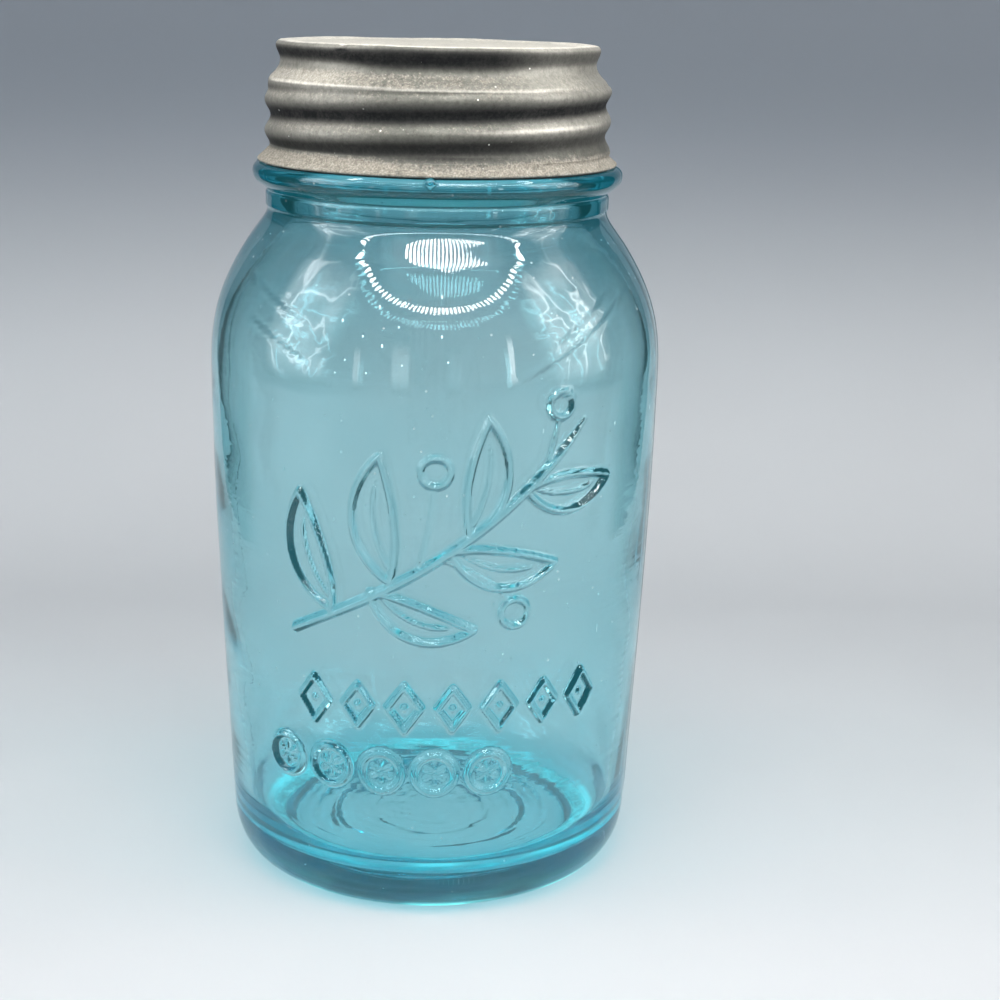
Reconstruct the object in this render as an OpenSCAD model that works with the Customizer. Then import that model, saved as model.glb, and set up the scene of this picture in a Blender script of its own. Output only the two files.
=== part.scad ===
// Glass canning jar with a screw-on sheet-zinc cap, an opal glass cap liner
// and a rubber sealing ring. Millimetres, +Z up. The origin is the centre of
// the circle the jar stands on. The cap is drawn screwed down.

/* [Jar body] */
// Height of the glass jar, from the table to the top of its lip
jar_h = 175.8; // [130:0.1:230]
// Largest outside diameter of the body, just under the shoulder
body_d = 97.12; // [92:0.02:104]
// Outside diameter of the body just above the rounded heel
heel_d = 89.9; // [86:0.1:94]
// Thickness of the glass side wall
wall_t = 2.8; // [2.2:0.1:3.6]
// Height of the inside floor above the table
floor_z = 7; // [6:0.5:10]
// Outside diameter of the ring the jar stands on
foot_d = 74.4; // [70:0.2:78]
// Height of the hollow under the base
kick_z = 4.2; // [3:0.1:4.6]

/* [Neck and bead] */
// Outside diameter of the neck under the bead
neck_d = 72.2; // [70:0.1:74]
// How far the raised band stands out from the neck
band_t = 0.4; // [0.1:0.05:0.8]
// Outside diameter of the bead that the cap rim stands over
bead_d = 78.4; // [77.6:0.1:82]

/* [Mouth and thread] */
// Outside diameter of the threaded finish between the threads
finish_d = 68; // [67.2:0.1:68.4]
// Outside diameter over the glass thread
thread_d = 70.9; // [70:0.1:71.2]
// Diameter of the open mouth
mouth_d = 60; // [56:0.5:60.4]
// Rise of the thread in one turn
pitch = 6.35; // [5.5:0.05:7]
// Length of the glass thread, in turns
turns = 1.51; // [1:0.01:1.7]

/* [Zinc cap] */
// Diameter over the crests of the cap's rolled thread
cap_d = 73.2; // [73:0.1:75]
// Depth of the rolled thread, crest to valley
roll_h = 1.2; // [0.8:0.05:1.4]
// Diameter over the flared rim
flare_d = 76.3; // [75.6:0.1:77.4]
// Thickness of the zinc sheet
sheet_t = 0.55; // [0.4:0.05:0.6]
// Depth of the shallow pressed panel in the top
panel_h = 0.35; // [0.1:0.05:0.6]

/* [Opal liner] */
// Diameter of the liner's flange, held above the cap's groove
liner_d = 65.7; // [65:0.1:65.8]
// Diameter of the plug that stands down into the mouth
plug_d = 57.2; // [50:0.1:58]
// Depth of the plug below the underside of the liner
plug_h = 1.4; // [0.6:0.1:3]

/* [Rubber ring] */
// Outside diameter of the rubber ring
ring_d = 72.6; // [70:0.1:73]
// Thickness of the rubber ring
ring_t = 2.25; // [1.4:0.05:2.3]

/* [Resolution] */
// Segments around the rolled thread of the cap
cap_seg = 48; // [36:12:60]
// Segments in one turn of the glass thread
thread_seg = 56; // [36:4:72]

/* [Hidden] */
$fn = 96;

// Everything from the widest point upwards is placed for a jar 175.8 high,
// then moved by lift.
lift = jar_h - 175.8;
foot_r = foot_d / 2;
heel_r = heel_d / 2;
body_r = body_d / 2;
neck_r = neck_d / 2;
band_r = neck_r + band_t;
bead_r = bead_d / 2;
finish_r = finish_d / 2;
mouth_r = mouth_d / 2;
lip_r = 32.1;
heel_z = 11;
body_z = 112 + lift;
side_h = body_z - heel_z;
ledge_z = 153.5 + lift;
// Height of the thread's crest line at angle 0, carried back from its start.
crest_z = 157.53 + lift;
cap_top_z = 179.3 + lift;

// Points of a cubic curve from start to end, without its first point.
function curve(start, pull_1, pull_2, end, n) = [for (i = [1:n]) let (t = i / n, u = 1 - t)
    u * u * u * start + 3 * u * u * t * pull_1 + 3 * u * t * t * pull_2 + t * t * t * end];
// Points of an arc, with both ends.
function arc(centre, r, from, to, n) = [for (i = [0:n])
    let (angle = from + (to - from) * i / n) centre + r * [cos(angle), sin(angle)]];
// Profile points moved up by height.
function raised(points, height) = [for (p = points) p + [0, height]];
// Smooth step from 0 at a to 1 at b.
function smooth(a, b, x) = let (t = max(0, min(1, (x - a) / (b - a)))) t * t * (3 - 2 * t);
// Larger of two values, blended over a width.
function soft_max(a, b, width) =
    let (h = max(0, width - abs(a - b)) / width) max(a, b) + h * h * width / 4;
function reversed(list) = [for (i = [len(list) - 1:-1:0]) list[i]];
// Point at radius r, angle and height z around the axis.
function polar(r, angle, z) = [r * cos(angle), r * sin(angle), z];
// Triangles joining successive closed rows of n points; first is the first point's index.
function tube_faces(row_count, n, first = 0) = [for (j = [0:row_count - 2]) for (i = [0:n - 1])
    let (a = first + j * n + i, b = first + j * n + (i + 1) % n)
        each [[a, b, b + n], [a, b + n, a + n]]];

// ---- Jar: profiles are (radius, height) ----

// Stepped hollow under the base, out to the resting ring.
underside = [[0, kick_z], [8, kick_z - 0.05], [15, kick_z - 0.25],
    [foot_r - 15.7, kick_z - 0.6], [foot_r - 14.9, kick_z - 1.2],
    [foot_r - 5.7, kick_z - 1.8], [foot_r - 3.6, kick_z - 2.6],
    [foot_r - 2.7, 0.35], [foot_r - 2.2, 0]];

// Join of shoulder and neck fillet, and the curve control point above it.
shoulder_top = [40.4, 138 + lift];
fillet_pull = [37.2, 142.4 + lift];

// Heel, tapered side, shoulder and neck fillet, seen from outside.
body_outside = concat([[foot_r, 0]],
    curve([foot_r, 0], [foot_r + 4.4, 0], [heel_r - 0.35, 3.6], [heel_r, heel_z], 10),
    curve([heel_r, heel_z], [heel_r + 1.52, heel_z + 0.327 * side_h],
        [body_r, heel_z + 0.683 * side_h], [body_r, body_z], 20),
    curve([body_r, body_z], [body_r, body_z + 11], [45.6, 130 + lift], shoulder_top, 14),
    curve(shoulder_top, fillet_pull, [neck_r, 143.4 + lift], [neck_r, 145.2 + lift], 8));

// Raised band, neck and bead.
neck_outside = raised(concat(
    [[band_r, 145.35], [band_r, 148.25], [neck_r, 148.4]],
    curve([neck_r, 148.4], [neck_r, 149.8], [bead_r, 149.6], [bead_r, 152.6], 8),
    arc([bead_r - 1.8, 152.6], 1.8, 12, 90, 6)), lift);

// Ledge, threaded finish and rounded lip.
finish = concat(
    [[bead_r - 2.7, ledge_z], [finish_r, ledge_z], [finish_r, 170 + lift],
        [lip_r, 171.9 + lift], [lip_r, jar_h - 1.2]],
    curve([lip_r, jar_h - 1.2], [lip_r, jar_h - 0.4],
        [lip_r - 0.5, jar_h], [mouth_r + 1.05, jar_h], 4),
    curve([mouth_r + 1.05, jar_h], [mouth_r + 0.4, jar_h],
        [mouth_r, jar_h - 0.4], [mouth_r, jar_h - 1.2], 4));

inner_body_r = body_r - wall_t;
inner_heel_r = heel_r - wall_t;
inner_side_foot = [inner_heel_r - 0.05, 18];
inner_throat = [30.6, 147 + lift];
wall_inset = [wall_t, wall_t];

// Inside, from the mouth down to the floor.
inside = concat([[mouth_r, 153 + lift]],
    curve([mouth_r, 153 + lift], [mouth_r, 150.5 + lift], [30.6, 149.5 + lift], inner_throat, 4),
    curve(inner_throat, [31.2, 141.5 + lift], fillet_pull - wall_inset,
        shoulder_top - wall_inset, 8),
    curve(shoulder_top - wall_inset, [45.4, 131.1 + lift] - wall_inset,
        [inner_body_r, body_z + 9.5], [inner_body_r, body_z], 12),
    curve([inner_body_r, body_z], [inner_body_r, heel_z + 0.683 * side_h],
        [inner_heel_r + 1.5, heel_z + 0.35 * side_h], inner_side_foot, 16),
    curve(inner_side_foot, [inner_heel_r - 0.4, floor_z + 4.5],
        [inner_heel_r - 3.9, floor_z + 0.5], [33, floor_z + 0.2], 8),
    [[0, floor_z]]);

// Thread section: (share of the thread's depth, height from its centre line).
thread_shape = [[0, -2.2], [0.66, -1.25], [1, -0.5], [1, 0.5], [0.66, 1.25], [0, 2.2]];
thread_root_r = finish_r - 0.5; // sunk into the finish
thread_start = 27;              // angle where the thread begins
thread_runout = 28;             // angle over which each end tapers
thread_min = 0.06;              // share of full size at the very ends

// One section of the thread at an angle, at a share of full size.
function thread_row(angle, size) = let (depth = (thread_d / 2 - thread_root_r) * size)
    [for (p = thread_shape) polar(thread_root_r + p[0] * depth, angle,
        crest_z + pitch * angle / 360 + p[1] * (0.35 + 0.65 * size))];

// Raised helical thread, right-handed, tapered at both ends.
module glass_thread() {
    n = round(turns * thread_seg);
    step = 360 / thread_seg;
    corners = len(thread_shape);
    points = [for (i = [0:n])
        let (taper = smooth(0, thread_runout, min(i, n - i) * step))
            each thread_row(thread_start + i * step, thread_min + (1 - thread_min) * taper)];
    faces = concat(tube_faces(n + 1, corners),
        [[for (j = [corners - 1:-1:0]) j]],
        [[for (j = [0:corners - 1]) n * corners + j]]);
    polyhedron(points = points, faces = faces, convexity = 6);
}

// Jar: one piece of aqua glass.
module glass_jar() {
    color([0.45, 0.72, 0.74, 0.45]) union() {
        rotate_extrude()
            polygon(concat(underside, body_outside, neck_outside, finish, inside));
        glass_thread();
    }
}

// ---- Ring and liner ----

// Flat rubber ring on the ledge inside the bead, its outer edges chamfered.
module rubber_ring() {
    bottom = ledge_z + 0.02;
    top = bottom + ring_t;
    inner_r = finish_r + 0.1;
    outer_r = ring_d / 2;
    chamfer = 0.25;
    color([0.16, 0.13, 0.12]) rotate_extrude() polygon([
        [inner_r, bottom], [outer_r - chamfer, bottom], [outer_r, bottom + chamfer],
        [outer_r, top - chamfer], [outer_r - chamfer, top], [inner_r, top]]);
}

// Opal glass liner: a disc just over the lip, a thin flange above, a plug below.
module opal_liner() {
    lip_gap = 0.2;
    flange_r = liner_d / 2;
    disc_r = flange_r - 0.65;
    plug_r = plug_d / 2;
    // (radius, height above the disc's underside)
    profile = [[0, -0.5], [12, -0.5], [12.8, -0.2], [plug_r - 5.4, -0.2],
        [plug_r - 4.6, -plug_h], [plug_r - 0.5, -plug_h], [plug_r, 0.5 - plug_h], [plug_r, 0],
        [disc_r - 0.3, 0], [disc_r, 0.3], [disc_r, 1.2], [flange_r, 1.5],
        [flange_r, 1.75], [flange_r - 0.45, 2.2], [0, 2.2]];
    color([0.93, 0.94, 0.92]) rotate_extrude() polygon(raised(profile, jar_h + lip_gap));
}

// ---- Cap ----

// Outer radius of the rolled thread, fading out towards the top.
function roll_r(angle, z) = let (
    wave = cos(360 * (z - crest_z) / pitch - angle),
    fade = wave > 0 ? smooth(171.5, 170.5, z - lift) : smooth(171, 168, z - lift),
    middle = (cap_d - roll_h) / 2 - 0.4 * smooth(170.2, 171.5, z - lift))
    middle + roll_h / 2 * wave * fade;

flare_root_r = 35.3;
flare_top_z = 157.9 + lift;
flare_h = 2.8;
// Outer radius of the flared rim; above the flare it falls back inwards.
function flare_r(z) = let (drop = flare_top_z - z)
    flare_root_r + (flare_d / 2 - flare_root_r) * pow(max(0, drop) / flare_h, 1.35)
    - 0.6 * max(0, -drop);

// Closed rows of points around the cap: plain circle, and skirt moved in and down.
cap_angles = [for (i = [0:cap_seg - 1]) 360 * i / cap_seg];
function circle_row(p) = [for (angle = cap_angles) polar(p[0], angle, p[1])];
function skirt_row(z, inset = 0, drop = 0) = [for (angle = cap_angles)
    polar(soft_max(roll_r(angle, z), flare_r(z), 0.5) - inset, angle, z - drop)];

// Cap top with the groove under its edge: (radius, height from the cap top).
cap_top_outside = concat(
    [[15, -panel_h], [30.2, -panel_h], [31, -panel_h * 0.55], [31.7, 0]],
    arc([32.9, -1.1], 1.1, 90, 0, 5),
    [[33.8, -1.7], [33.45, -2.5], [33.15, -3.4], [33.1, -4.2],
        [33.35, -5.2], [34.1, -6.3], [35.2, -7.15]]);
cap_top_inside = concat(
    [[15, -panel_h - sheet_t], [30.5, -panel_h - sheet_t], [31.6, -sheet_t - 0.1]],
    arc([32.8, -1.1], 0.6, 90, 0, 3),
    [[33.2, -1.9], [32.9, -2.6], [32.6, -3.4], [32.55, -4.2],
        [32.8, -5.35], [33.55, -6.6], [34.65, -7.45]]);
// Heights of the rows down the threaded skirt.
skirt_heights = [for (z = [171.2:-0.9:158.6]) z + lift,
    for (z = [157.8, 157, 156.3, 155.7]) z + lift];
// Rounded edge of the rim: (radius from the flare's, height).
rim_edge = [[0, 155.15], [-0.1, 154.8], [-0.4, 154.64], [-0.85, 154.75], [-1, 155.1]];

// Sheet thickness down the skirt, growing towards the rim.
function skirt_t(z) = sheet_t + 0.25 * smooth(158.4, 156, z - lift);

// Cap: one piece of sheet zinc, with the thread rolled through the sheet.
module zinc_cap() {
    outer_rows = concat(
        [for (p = raised(cap_top_outside, cap_top_z)) circle_row(p)],
        [for (z = skirt_heights) skirt_row(z)]);
    rim_rows = [for (p = rim_edge) circle_row(p + [flare_d / 2, lift])];
    inner_rows = concat(
        [for (p = raised(cap_top_inside, cap_top_z)) circle_row(p)],
        [for (z = skirt_heights) skirt_row(z, inset = skirt_t(z), drop = 0.02)]);
    rows = concat(outer_rows, rim_rows, reversed(inner_rows));

    // The first and last points are the centres of the top, outside and inside.
    panel_z = cap_top_z - panel_h;
    points = concat([[0, 0, panel_z]], [for (row = rows) each row], [[0, 0, panel_z - sheet_t]]);
    n = cap_seg;
    last = 1 + len(rows) * n;
    faces = concat(
        [for (i = [0:n - 1]) [0, 1 + (i + 1) % n, 1 + i]],
        tube_faces(len(rows), n, first = 1),
        [for (i = [0:n - 1]) [last, last - n + i, last - n + (i + 1) % n]]);
    color([0.55, 0.54, 0.5]) polyhedron(points = points, faces = faces, convexity = 8);
}

glass_jar();
rubber_ring();
opal_liner();
zinc_cap();
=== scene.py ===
import math

import bpy
import numpy as np
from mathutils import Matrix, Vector


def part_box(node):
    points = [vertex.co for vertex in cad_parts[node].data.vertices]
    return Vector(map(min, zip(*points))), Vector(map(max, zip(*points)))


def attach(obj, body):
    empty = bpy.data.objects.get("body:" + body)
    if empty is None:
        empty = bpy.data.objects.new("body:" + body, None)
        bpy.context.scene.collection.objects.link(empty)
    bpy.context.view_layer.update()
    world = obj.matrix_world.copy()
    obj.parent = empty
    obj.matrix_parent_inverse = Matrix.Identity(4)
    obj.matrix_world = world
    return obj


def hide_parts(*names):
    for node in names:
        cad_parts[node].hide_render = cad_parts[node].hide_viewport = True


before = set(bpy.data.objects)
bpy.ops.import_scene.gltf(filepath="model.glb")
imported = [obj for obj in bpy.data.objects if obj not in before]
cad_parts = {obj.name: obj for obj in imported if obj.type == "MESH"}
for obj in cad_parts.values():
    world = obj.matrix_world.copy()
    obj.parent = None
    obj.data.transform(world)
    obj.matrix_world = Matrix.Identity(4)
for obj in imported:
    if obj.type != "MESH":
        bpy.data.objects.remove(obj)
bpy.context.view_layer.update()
MM = 0.001

# ---------------------------------------------------------------- sizes from the frame (mm)
jar_lo, jar_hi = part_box("glass_jar")
cap_lo, cap_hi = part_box("zinc_cap")
lin_lo, lin_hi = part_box("opal_liner")
ring_lo, ring_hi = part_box("rubber_ring")
LIP = jar_hi.z / MM
DZ = LIP - 175.8
CAP_TOP = cap_hi.z / MM
CAP_LOW = cap_lo.z / MM
FLARE_R = (cap_hi.x - cap_lo.x) / 2 / MM
BODY_R = 48.56
PITCH = 6.35
CREST0 = 157.53 + DZ
rng = np.random.default_rng(20261116)


# ---------------------------------------------------------------- small maths helpers
def cubic(a, b, c, d, n):
    t = np.linspace(0, 1, n + 1)[:, None]
    u = 1 - t
    a, b, c, d = (np.array(p, float)[None] for p in (a, b, c, d))
    return u ** 3 * a + 3 * u * u * t * b + 3 * u * t * t * c + t ** 3 * d


def arc(c, r, a0, a1, n):
    a = np.radians(np.linspace(a0, a1, n + 1))
    return np.stack([c[0] + r * np.cos(a), c[1] + r * np.sin(a)], 1)


def smooth(a, b, x):
    t = np.clip((np.asarray(x, float) - a) / (b - a), 0, 1)
    return t * t * (3 - 2 * t)


def bump(c, w, x):
    """1 at c, smoothly 0 past w."""
    t = np.clip(np.abs(np.asarray(x, float) - c) / w, 0, 1)
    return (1 - t * t) ** 2


class Waves:
    """A smooth periodic field on (angle, height): a sum of seeded waves."""

    def __init__(self, seed, amp, terms):
        g = np.random.default_rng(seed)
        self.t = []
        for m_hi, wl_lo, wl_hi, n, a in terms:
            for _ in range(n):
                m = int(g.integers(0, m_hi + 1))
                k = 2 * np.pi / g.uniform(wl_lo, wl_hi) * g.choice([-1, 1])
                self.t.append((m, k, g.uniform(0, 2 * np.pi), a * g.uniform(0.6, 1.4)))
        norm = math.sqrt(sum(x[3] ** 2 for x in self.t) / 2)
        self.scale = amp / norm

    def __call__(self, th, z):
        out = 0.0
        for m, k, p, a in self.t:
            out = out + a * np.cos(m * th + k * z + p)
        return out * self.scale


class Path:
    """A meridian (radius, height) with rounded corners, that can be read at any length along it."""

    def __init__(self, segs, sigma):
        pts = [np.array(segs[0][1][0], float)]
        names, idx = [], []
        for name, arr in segs:
            names.append(name)
            idx.append(len(pts) - 1)
            pts.extend(np.array(arr, float)[1:])
        pts = np.array(pts)
        keep = np.ones(len(pts), bool)
        keep[1:] = np.hypot(*(pts[1:] - pts[:-1]).T) > 1e-6
        remap = np.cumsum(keep) - 1
        idx = [remap[i] for i in idx]
        pts = pts[keep]
        s = np.r_[0, np.cumsum(np.hypot(*(pts[1:] - pts[:-1]).T))]
        self.mark = {n: s[i] for n, i in zip(names, idx)}
        self.step = 0.04
        n = int(s[-1] / self.step)
        self.s = np.linspace(0, s[-1], n + 1)
        R = np.interp(self.s, s, pts[:, 0])
        Z = np.interp(self.s, s, pts[:, 1])
        h = int(4 * sigma / self.step)
        k = np.exp(-0.5 * (np.arange(-h, h + 1) * self.step / sigma) ** 2)
        k /= k.sum()

        def blur(a, odd):
            lo = a[1:h + 1][::-1]
            hi = a[-h - 1:-1][::-1]
            if odd:
                lo, hi = 2 * a[0] - lo, 2 * a[-1] - hi
            return np.convolve(np.r_[lo, a, hi], k, "valid")
        # both ends lie on the axis: radius continues oddly and height evenly
        self.R, self.Z = blur(R, True), blur(Z, False)
        self.length = self.s[-1]

    def at(self, s):
        s = np.clip(s, 0, self.length)
        return np.interp(s, self.s, self.R), np.interp(s, self.s, self.Z)

    def normal(self, s):
        e = 0.1
        r1, z1 = self.at(s + e)
        r0, z0 = self.at(s - e)
        dr, dz = r1 - r0, z1 - z0
        l = np.hypot(dr, dz) + 1e-12
        return dz / l, -dr / l

    def rows(self, plan):
        """plan: (name of the segment it starts at, spacing). Row positions along the path."""
        out = []
        marks = [self.mark[n] for n, _ in plan] + [self.length]
        for (n, sp), a, b in zip(plan, marks[:-1], marks[1:]):
            k = max(1, int(round((b - a) / sp)))
            out.append(np.linspace(a, b, k + 1)[:-1])
        return out


class Builder:
    """Collects points, exact normals and faces of a closed shell made of rings."""

    def __init__(self):
        self.v, self.n, self.f, self.count = [], [], [], 0
        self.extra = {}

    def add(self, pts, nrm, **attrs):
        i = np.arange(self.count, self.count + len(pts))
        self.v.append(pts)
        self.n.append(nrm)
        for k, a in attrs.items():
            self.extra.setdefault(k, []).append((self.count, np.broadcast_to(a, (len(pts),))))
        self.count += len(pts)
        return i

    def strip(self, a, b):
        a2, b2 = np.roll(a, -1), np.roll(b, -1)
        self.f.extend(np.stack([a, a2, b2, b], 1).tolist())

    def zipper(self, a, ta, b, tb):
        """Joins two closed rings with different angles by triangles. Both start at the smallest angle."""
        i = j = 0
        na, nb = len(a), len(b)
        while i < na or j < nb:
            nxa = ta[(i + 1) % na] + (2 * np.pi if i + 1 >= na else 0)
            nxb = tb[(j + 1) % nb] + (2 * np.pi if j + 1 >= nb else 0)
            if j >= nb or (i < na and nxa <= nxb):
                self.f.append([int(a[i % na]), int(a[(i + 1) % na]), int(b[j % nb])])
                i += 1
            else:
                self.f.append([int(a[i % na]), int(b[(j + 1) % nb]), int(b[j % nb])])
                j += 1

    def fan(self, centre, ring, last=False):
        r2 = np.roll(ring, -1)
        for a, b in zip(ring, r2):
            self.f.append([int(centre), int(b), int(a)] if not last else [int(centre), int(a), int(b)])

    def object(self, name, mat, scale=MM):
        v = np.vstack(self.v) * scale
        n = np.vstack(self.n)
        me = bpy.data.meshes.new(name)
        me.from_pydata(v.tolist(), [], self.f)
        me.validate(clean_customdata=False)
        me.polygons.foreach_set("use_smooth", np.ones(len(me.polygons), bool))
        for k, parts in self.extra.items():
            a = np.zeros(len(v), np.float32)
            for start, arr in parts:
                a[start:start + len(arr)] = arr
            at = me.attributes.new(k, "FLOAT", "POINT")
            at.data.foreach_set("value", a)
        me.update()
        me.normals_split_custom_set_from_vertices(n.tolist())
        me.materials.append(mat)
        o = bpy.data.objects.new(name, me)
        bpy.context.scene.collection.objects.link(o)
        return o


def unit(a):
    return a / (np.linalg.norm(a, axis=-1, keepdims=True) + 1e-15)


def revolve(b, path, blocks, disp, attrs=None, flip=False):
    """Builds a closed shell: blocks is a list of (row lengths, angles). disp(s, th, R, z) is the displacement along the meridian's normal."""
    def point(s, th):
        R, z = path.at(s)
        nr, nz = path.normal(s)
        if flip:
            nr, nz = -nr, -nz
        R, z, nr, nz = (np.broadcast_to(x[:, None], (len(s), th.shape[1])) for x in (R, z, nr, nz))
        S = np.broadcast_to(s[:, None], R.shape)
        h = disp(S, th, R, z)
        r, zz = R + nr * h, z + nz * h
        return np.stack([r * np.cos(th), r * np.sin(th), zz], -1), R, z

    f0, sg = len(b.f), -1.0 if flip else 1.0
    r0, z0 = path.at(np.array([0.0]))
    start = b.add(np.array([[0, 0, z0[0]]]), np.array([[0, 0, sg * (-1.0 if path.normal(np.array([0.3]))[1][0] < 0 else 1.0)]]),
                  **({k: f(np.zeros(1), np.zeros(1), np.zeros(1), z0) for k, f in attrs.items()} if attrs else {}))[0]
    prev, prev_th = None, None
    for s, th in blocks:
        t = np.broadcast_to(th[None, :], (len(s), len(th)))
        P, R, z = point(s, t)
        es = 0.12
        et = 0.12 / np.maximum(R, 2.0)
        Ps = point(s + es, t)[0] - point(s - es, t)[0]
        Pt = point(s, t + et)[0] - point(s, t - et)[0]
        N = unit(np.cross(Pt, Ps)) * sg
        S = np.broadcast_to(s[:, None], R.shape)
        for j in range(len(s)):
            kw = {k: f(S[j], t[j], R[j], z[j]) for k, f in attrs.items()} if attrs else {}
            ring = b.add(P[j], N[j], **kw)
            if prev is None:
                b.fan(start, ring)
            elif len(prev) == len(ring) and np.array_equal(prev_th, th):
                b.strip(prev, ring)
            else:
                b.zipper(prev, prev_th, ring, th)
            prev, prev_th = ring, th
    r1, z1 = path.at(np.array([path.length]))
    nz = path.normal(np.array([path.length - 0.3]))[1][0]
    end = b.add(np.array([[0, 0, z1[0]]]), np.array([[0, 0, sg * (1.0 if nz > 0 else -1.0)]]),
                **({k: f(np.full(1, path.length), np.zeros(1), np.zeros(1), z1) for k, f in attrs.items()} if attrs else {}))[0]
    b.fan(end, prev, last=True)
    if flip:
        b.f[f0:] = [f[::-1] for f in b.f[f0:]]


def angles(segments):
    """segments: (from degrees, to degrees, step degrees). Closed list of angles in radians, rising."""
    out = []
    for a, b, st in segments:
        k = max(1, int(round((b - a) / st)))
        out.append(np.linspace(a, b, k + 1)[:-1])
    t = np.radians(np.concatenate(out))
    return t


# ---------------------------------------------------------------- raised ornament on the jar's front
# Drawn on the unrolled side: u runs round the jar to the right of its front, z is height, both in mm.
U0, U1, Z0, Z1, PX = -48.0, 48.0, 22.0, 116.0, 0.1
relief = np.zeros((int((Z1 - Z0) / PX) + 1, int((U1 - U0) / PX) + 1), np.float32)


def stroke(pts, w, h, edge=None, taper=(1.0, 1.0)):
    """A rounded raised line through pts, w mm wide and h mm high."""
    pts = np.asarray(pts, float)
    edge = edge or min(w * 0.46, 1.0)
    seg = np.hypot(*(pts[1:] - pts[:-1]).T)
    tot = seg.sum()
    run = 0.0
    for p, q, l in zip(pts[:-1], pts[1:], seg):
        if l < 1e-9:
            continue
        m = (run + l / 2) / tot
        k = min(1.0, m / 0.12 * (1 - taper[0]) + taper[0], (1 - m) / 0.12 * (1 - taper[1]) + taper[1])
        hw = w / 2 * k
        run += l
        pad = w / 2 + 0.3
        i0 = max(0, int((min(p[1], q[1]) - pad - Z0) / PX))
        i1 = min(relief.shape[0], int((max(p[1], q[1]) + pad - Z0) / PX) + 2)
        j0 = max(0, int((min(p[0], q[0]) - pad - U0) / PX))
        j1 = min(relief.shape[1], int((max(p[0], q[0]) + pad - U0) / PX) + 2)
        if i0 >= i1 or j0 >= j1:
            continue
        zz = Z0 + np.arange(i0, i1)[:, None] * PX
        uu = U0 + np.arange(j0, j1)[None, :] * PX
        d = q - p
        t = np.clip(((uu - p[0]) * d[0] + (zz - p[1]) * d[1]) / (l * l), 0, 1)
        dist = np.hypot(uu - p[0] - t * d[0], zz - p[1] - t * d[1])
        x = np.clip((hw - dist) / edge, 0, 1)
        val = h * (x * x * (3 - 2 * x)) * min(1.0, 0.35 + 0.65 * k)
        win = relief[i0:i1, j0:j1]
        np.maximum(win, val, out=win)


def leaf(base, tip, width, w=2.2, h=1.1, vein=True, bow=0.12):
    """A leaf outline with a mid vein, from base to tip."""
    base, tip = np.array(base, float), np.array(tip, float)
    d = tip - base
    nrm = np.array([-d[1], d[0]]) / np.hypot(*d)
    l = np.hypot(*d)
    bend = nrm * l * bow
    for sgn in (1, -1):
        a = base + d * 0.28 + nrm * sgn * width * 0.72 + bend
        c = base + d * 0.74 + nrm * sgn * width * 0.55 + bend
        stroke(cubic(base, a, c, tip, 26), w, h)
    if vein:
        stroke(cubic(base + d * 0.12, base + d * 0.35 + bend * 0.9, base + d * 0.6 + bend * 0.9, base + d * 0.8 + bend * 0.3, 14),
               1.35, h * 0.62, taper=(1.0, 0.4))


def ring_mark(c, ra, rb, w, h, tilt=0.0, n=40):
    a = np.linspace(0, 2 * np.pi, n + 1)
    x, y = ra * np.cos(a), rb * np.sin(a)
    ct, st = math.cos(tilt), math.sin(tilt)
    stroke(np.stack([c[0] + x * ct - y * st, c[1] + x * st + y * ct], 1), w, h)


def dot(c, r, h):
    stroke([[c[0] - 0.02, c[1]], [c[0] + 0.02, c[1]]], 2 * r, h, edge=r * 0.8)


# a leafy twig with berries, rising to the right
stem = cubic((-29.5, 63.0), (-16, 70.5), (6, 79), (31.5, 107.5), 60)
stroke(stem, 2.6, 1.2, taper=(1.0, 0.5))
leaf((-20.5, 68.6), (-27.5, 92.5), 8.4)
leaf((-8.5, 75.6), (-10.5, 101.5), 8.8)
leaf((7.5, 85.0), (10.5, 109.0), 8.2, bow=-0.1)
leaf((-12.5, 73.2), (8.5, 65.5), 7.6, bow=-0.16)
leaf((3.5, 82.0), (25.5, 78.5), 8.2, bow=-0.14)
leaf((18.5, 94.2), (38.5, 95.0), 7.8, bow=-0.12)
# berries on short stalks
ring_mark((0.4, 98.6), 2.9, 2.9, 2.0, 1.0)
stroke(cubic((-2.6, 78.6), (-1.2, 84), (-0.2, 90), (0.2, 95.8), 12), 1.5, 0.6)
ring_mark((16.8, 68.6), 2.9, 2.9, 2.0, 1.0)
stroke(cubic((1.2, 81.0), (6, 78.6), (12, 76.5), (15.4, 71.3), 12), 1.5, 0.6)
ring_mark((25.6, 111.2), 2.6, 2.6, 2.0, 1.0)
stroke(cubic((22.6, 98.4), (23.4, 101), (24.6, 104.5), (25.2, 108.8), 12), 1.5, 0.6)
# two rows of plain marks under it
for i in range(7):
    c = (-25.2 + 9.9 * i, 48.2)
    k = 1.0 if i % 2 == 0 else 0.9
    a, b_ = 3.5 * k, 5.0 * k
    pts = np.array([[c[0] + a, c[1]], [c[0], c[1] + b_], [c[0] - a, c[1]], [c[0], c[1] - b_], [c[0] + a, c[1]]])
    fine = np.vstack([np.linspace(p, q, 9)[:-1] for p, q in zip(pts[:-1], pts[1:])] + [pts[-1:]])
    stroke(fine, 1.9, 1.0)
    dot(c, 0.95, 0.55)
for i in range(5):
    c = (-33.2 + 11.4 * i, 33.8)
    ring_mark(c, 4.2, 4.2, 2.0, 0.95)
    for q in range(6):
        a = math.radians(60 * q + 30)
        stroke([[c[0] + 0.9 * math.cos(a), c[1] + 0.9 * math.sin(a)], [c[0] + 2.3 * math.cos(a), c[1] + 2.3 * math.sin(a)]], 1.1, 0.45)

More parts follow.
